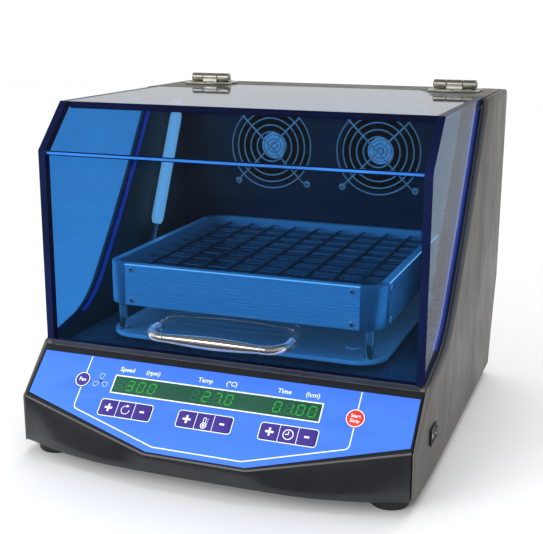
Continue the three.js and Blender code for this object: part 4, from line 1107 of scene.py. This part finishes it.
def rail_mesh(half):
    """Rail along local x, its outer face towards -y with fine grooves between plain lips."""
    pts = [(TRAY_WALL, TRAY_Z0), (0.6, TRAY_Z0), (0, TRAY_Z0 + 0.6)]
    grooves, deep, lip = 11, 0.8, 2.5
    step = (TRAY_Z1 - TRAY_Z0 - 2 * lip) / grooves
    for i in range(grooves):
        z = TRAY_Z0 + lip + i * step
        pts += [(0, z), (deep, z + 0.5), (deep, z + step * 0.45), (0, z + step * 0.45 + 0.5)]
    pts += [(0, TRAY_Z1 - 0.9), (0.9, TRAY_Z1), (TRAY_WALL, TRAY_Z1)]
    return prism(pts, -half, half, ALONG_X)


def rail_pick(p):
    """The chamfer along the top of a rail gets a painted highlight."""
    lit = 0.5 < p.normal.z < 0.9 and p.center.z > (TRAY_Z1 - 1 + FOOT) / 1000
    return 3 if lit else p.material_index


for quarter, name in enumerate(("front", "right", "rear", "left")):
    along, outer = (TRAY_Y2, TRAY_X2) if quarter % 2 else (TRAY_X2, TRAY_Y2)
    half = along - TRAY_R - 0.3
    screws = [moved(pan_head(3.1, 1.3, first=1), face_towards((0, -1, 0), (x, 0.2 - outer, z)))
              for x in (7 - half, half - 7) for z in (TRAY_Z0 + 5, TRAY_Z1 - 5)]
    rail = joined([moved(rail_mesh(half), at(0, -outer, 0)), *[(screw, None) for screw in screws]])
    moved(rail, at(0, TRAY_Y, 0) @ Matrix.Rotation(quarter * math.pi / 2, 4, "Z"))
    add(f"tray_rail_{name}", rail, [ALUMINIUM, WIRE, BLACK, RAIL_EDGE_HIGHLIGHT], "carriage",
        bevel=0.12, segments=1, angle=50, pick=rail_pick)

for end, sy in (("front", -1), ("rear", 1)):
    for hand, sx in HANDS:
        start = math.atan2(sy, sx) - math.pi / 4
        arc = (circle(0, 0, TRAY_R, 20, start, start + math.pi / 2)
               + circle(0, 0, TRAY_R - TRAY_WALL, 20, start + math.pi / 2, start))
        corner = moved(plate([arc], TRAY_Z0, TRAY_Z1, 0.5),
                       at(sx * (TRAY_X2 - TRAY_R), TRAY_Y + sy * (TRAY_Y2 - TRAY_R), 0))
        add(f"tray_corner_{end}_{hand}", corner, CORNER_METAL, "carriage")

well_x, well_y = TRAY_X2 - TRAY_WALL - 0.3, TRAY_Y2 - TRAY_WALL - 0.3
add("tray_base", plate([rounded(well_x, well_y, TRAY_R - TRAY_WALL, 0, TRAY_Y)], 121, 123, 0.3),
    TRAY_FLOOR, "carriage")


def coil(a, b):
    """Close-wound spring drawn as a ribbed round bar with plain hook ends."""
    radius, pitch, hook = 1.75, 2.4, 0.7
    a, b = Vector(a), Vector(b)
    length = (b - a).length
    ribs = int((length - 10) / pitch) * 3
    pts, radii = [a, a + (b - a) * (4.6 / length)], [hook, hook]
    for i in range(ribs):
        t = (5 + (length - 10) * i / ribs) / length
        pts.append(a + (b - a) * t)
        radii.append(radius * (0.80 if i % 3 == 0 else 1.0))
    pts += [b - (b - a) * (4.6 / length), b]
    return tube(pts, radii + [hook, hook], 8)


# Nine springs from front to rear, and nine from left to right just below them
reach_x, reach_y = well_x + 0.2, well_y + 0.2
springs = [coil((26.2 * i, TRAY_Y - reach_y, 152.4), (26.2 * i, TRAY_Y + reach_y, 152.4))
           for i in range(-4, 5)]
springs += [coil((-reach_x, TRAY_Y + 25.4 * i, 150.2), (reach_x, TRAY_Y + 25.4 * i, 150.2))
            for i in range(-4, 5)]
add("spring_grid", joined(springs), SPRING, "carriage", smooth=80)


# ---------------------------------------------------------------------------------------------
# Hood: glued panes with dark polished edges, rear plate, handle, hinges, strut
# ---------------------------------------------------------------------------------------------
def pane_pick(axis):
    """Material 0 on the broad faces across an axis, 1 on the edges."""
    return lambda p: 0 if abs(p.normal.dot(axis)) > 0.9 else 1


half = INNER - 0.03
SLOPE = Vector((0, TOP_FRONT - HOOD_FRONT, TOP - BEND_Z)).normalized()
OUT = Vector((0, -SLOPE.z, SLOPE.y))
GLUE = 0.2


def on_slope(start, along, inward):
    p = Vector((0, *start)) + SLOPE * along - OUT * inward
    return p.y, p.z


LOW, HIGH = (HOOD_FRONT, BEND_Z), (TOP_FRONT, TOP)
front_pane = prism([(HOOD_FRONT + PANE, HOOD_BOTTOM), (HOOD_FRONT + PANE, BEND_Z - 2.9),
                    on_slope(LOW, -GLUE, 4.95), on_slope(LOW, -GLUE, 1.1),
                    (HOOD_FRONT, BEND_Z - GLUE), (HOOD_FRONT, HOOD_BOTTOM)], -half, half, ALONG_X)


def front_pick(p):
    """Broad faces clear, the glued joint's strip with a painted glow, dark polished edges
    elsewhere.
    """
    if abs(p.normal.y) > 0.9:
        return 0
    return 2 if 0.5 < p.normal.z < 0.9 and p.center.z < (BEND_Z - 1.6 + FOOT) / 1000 else 1


add("hood_front_pane", front_pane, [TINT, EDGE, SEAM], "hood",
    ["hood_front_panel"], bevel=0.2, pick=front_pick, rim=1)
length = math.dist(LOW, HIGH)
slope_pane = prism([on_slope(LOW, GLUE, PANE), on_slope(LOW, length - GLUE, PANE),
                    on_slope(LOW, length - GLUE, 0), on_slope(LOW, GLUE, 0)], -half, half, ALONG_X)
add("hood_slope_pane", slope_pane, [TINT, EDGE], "hood", ["hood_front_panel"],
    bevel=0.2, pick=pane_pick(OUT), rim=1)
# The top pane steps back between the hinges; the rear plate follows it 0.3 mm behind
TAB_X, TAB_END, MID_X = 126, 300, 104
rear_edge = [(half, TAB_Y - 0.3), (TAB_X, TAB_Y - 0.3), (TAB_X, TAB_END), (MID_X, MID_EDGE)]
rear_edge += [(-x, y) for x, y in reversed(rear_edge)]
top_pane = prism([(-half, TOP_FRONT + 0.4), (half, TOP_FRONT + 0.4), *rear_edge], TOP - PANE, TOP)
for v in top_pane.vertices:
    if v.co.y < TOP_FRONT + 1 and v.co.z < TOP - 1:
        v.co.y += PANE
add("hood_top_pane", top_pane, [TINT, EDGE], "hood", ["hood_front_panel"],
    bevel=0.2, pick=pane_pick(Vector((0, 0, 1))), rim=1)


def side_pane(side):
    outline = [(HOOD_FRONT, HOOD_BOTTOM), (92.8, 97.6)]
    outline += quadratic((92.8, 97.6), (118.8, 102.8), (140.5, 129), 14)
    outline += quadratic((140.5, 129), (210.4, 214), (268, TOP), 18)
    outline += [(TOP_FRONT, TOP), (HOOD_FRONT, BEND_Z)]
    mesh = prism(outline, INNER, HOOD_HALF, ALONG_X)
    if side < 0:
        moved(mesh, MIRROR_X)
    return mesh


def side_pick(p):
    """Clear broad faces, dark edges in front and above, a lit one along the rear curve."""
    if abs(p.normal.x) > 0.9:
        return 0
    return 2 if p.normal.y > 0.3 else 1


for hand, s in HANDS:
    add(f"hood_{hand}_pane", side_pane(s), [TINT_SIDE, EDGE, EDGE_GLOW], "hood",
        bevel=0.25, angle=25, pick=side_pick, rim=1)

rear_left = [(-HOOD_HALF, HOOD_REAR), (-HOOD_HALF, TAB_Y), (-TAB_X - 0.3, TAB_Y),
             (-TAB_X - 0.3, TAB_END + 0.1), (-MID_X - 0.2, MID_EDGE + 0.3)]
rear_plate = plate([rear_left + [(-x, y) for x, y in reversed(rear_left)]], 300.5, TOP, 0.5)
ear_y, ear_z = STRUT_HIGH
ear_outline = circle(ear_y, ear_z, 7, 20, math.pi, 2 * math.pi)
ear = plate([ear_outline + [(ear_y + 7, 301), (ear_y - 7, 301)]], -173.4, -168.8, 0.4, ALONG_X)
add("hood_rear_plate", joined([rear_plate, ear]), BODY_PAINT, "hood")


def smooth_path(points):
    """Catmull-Rom curve through the points, in eight steps between neighbours."""
    steps = 8
    pts = [Vector(p) for p in points]
    pts = [2 * pts[0] - pts[1], *pts, 2 * pts[-1] - pts[-2]]
    out = []
    for a, b, c, d in zip(pts, pts[1:], pts[2:], pts[3:]):
        for k in range(steps):
            t = k / steps
            out.append(0.5 * ((2 * b) + (c - a) * t + (2 * a - 5 * b + 4 * c - d) * t ** 2
                              + (3 * b - a - 3 * c + d) * t ** 3))
    return out + [pts[-2]]


BAR_Y, BAR_Z, BAR_HALF, HANDLE_X = 13.5, 112, 46.0, 64
# One leg in plan, from the pane to the end of the bar
LEG = ((HANDLE_X, 40.6), (HANDLE_X, 36), (64.3, 31), (62.2, 23.6), (57, 16.8), (51, 14),
       (BAR_HALF, BAR_Y))


def bar(stations, radii):
    """Round bar along x through the stations, with a radius at each."""
    return tube([(x, BAR_Y, BAR_Z) for x in stations], radii, 28)


# The bar swells towards the middle
stations = [BAR_HALF * k / 20 for k in range(-20, 21)]
handle = [bar(stations, [3.5 + 2.25 * max(0.0, math.cos(math.pi / 2 * x / 48)) ** 1.2
                         for x in stations])]
for s in (-1, 1):
    leg = smooth_path([(s * x, y, BAR_Z) for x, y in LEG])
    handle.append(tube(leg, [4.7 - 0.9 * k / len(leg) for k in range(len(leg))], 28))
    handle.append(bar([s * (BAR_HALF - 0.9 + 0.6 * k) for k in range(4)], [3.7, 4.15, 4.15, 3.7]))
    handle.append(moved(pan_head(4.0, 2.2), face_towards(
        (0, 1, 0), (s * HANDLE_X, HOOD_FRONT + PANE, BAR_Z))))
add("hood_handle", joined(handle), CHROME, "hood", smooth=50)


def knuckle(x0, x1):
    bore, r, chamfer = 2.7, 5.0, 0.5
    return turned([(bore, x0), (r - chamfer, x0), (r, x0 + chamfer), (r, x1 - chamfer),
                   (r - chamfer, x1), (bore, x1)], 36, ALONG_X)


def leaf(direction, spans, near):
    """Hinge leaf with its knuckles; direction is -1 for the hood's leaf and 1 for the cabinet's."""
    base = TOP + 0.3 - HINGE_Z
    outline = [(27, near), (27, 12), *quadratic((27, 12), (26, 26), (0, 28), 12),
               *quadratic((0, 28), (-26, 26), (-27, 12), 12), (-27, near)]
    web = [(0.5, base), (7.2, base), (7.2, base + 1.8), (5.2, base + 2.4), (4.6, -1.0), (4.2, 2.0),
           (0.5, 2.0)]
    parts = [plate([[(x, direction * y) for x, y in outline]], base, base + 2, 0.5)]
    for x0, x1 in spans:
        parts += [knuckle(x0, x1),
                  prism([(direction * y, z) for y, z in web], x0 + 0.05, x1 - 0.05, ALONG_X)]
    for x, y in ((-17, 12), (0, 20), (17, 12)):
        head = turned([(3.2, 0), (3.2, 0.3), (2.4, 0.75), (0, 0.85)], 24)
        recess = cross(1.7, 0.35, 0.7, 0.92)
        parts.append((moved(layered([head], recess), at(x, direction * y, base + 2)), None))
    return joined(parts)


for hand, s in HANDS:
    place = at(s * HINGE_X, HINGE_Y, HINGE_Z)
    pin = turned([(0, -23.4), (2.3, -23.4), (2.7, -23), (2.5, -22.4), (2.5, 22.4), (2.7, 23),
                  (2.3, 23.4), (0, 23.4)], 24, ALONG_X)
    cabinet_leaf = joined([leaf(1, [(-22.5, -8.8), (8.8, 22.5)], 2.0), pin])
    for part, mesh, body in (("hood", leaf(-1, [(-8.5, 8.5)], 1.5), "hood"),
                             ("cabinet", cabinet_leaf, "cabinet")):
        add(f"hinge_{part}_leaf_{hand}", moved(mesh, place), [NICKEL, BLACK], body,
            bevel=0.2, segments=1)

run_y, run_z = STRUT_HIGH[0] - STRUT_LOW[0], STRUT_HIGH[1] - STRUT_LOW[1]
STRUT_LENGTH = math.hypot(run_y, run_z)
strut_axis = at(STRUT_X, *STRUT_LOW) @ Matrix.Rotation(-math.atan2(run_y, run_z), 4, "X")
tube_body = turned([(2.7, 70), (2.7, 64), (4.6, 64), (5.2, 64.5), (5.4, 66.8), (6.2, 67.6),
                    (6.5, 69), (6.5, 186), (6.1, 189), (5.2, 192), (3.6, STRUT_LENGTH - 11.5),
                    (3, STRUT_LENGTH - 10), (3, STRUT_LENGTH - 4)], 40)
top_eye = moved(turned([(4.2, -3), (4.4, -2.6), (4.4, 2.6), (4.2, 3)], 32, ALONG_X),
                at(0, 0, STRUT_LENGTH))
top_stud = moved(turned([(2.5, -6.9), (2.5, 0)], 20, ALONG_X), at(0, 0, STRUT_LENGTH))
add("strut_cylinder", moved(joined([tube_body, top_eye, top_stud]), strut_axis), STRUT_METAL,
    "strut_tube_body")
rod = turned([(2.4, 4.5), (2.4, 123.4), (2.0, 124)], 24)
low_eye = turned([(5.2, -2.7), (5.5, -2.3), (5.5, 2.3), (5.2, 2.7)], 32, ALONG_X)
add("strut_rod", moved(joined([rod, low_eye]), strut_axis), CHROME, "strut_rod_body")
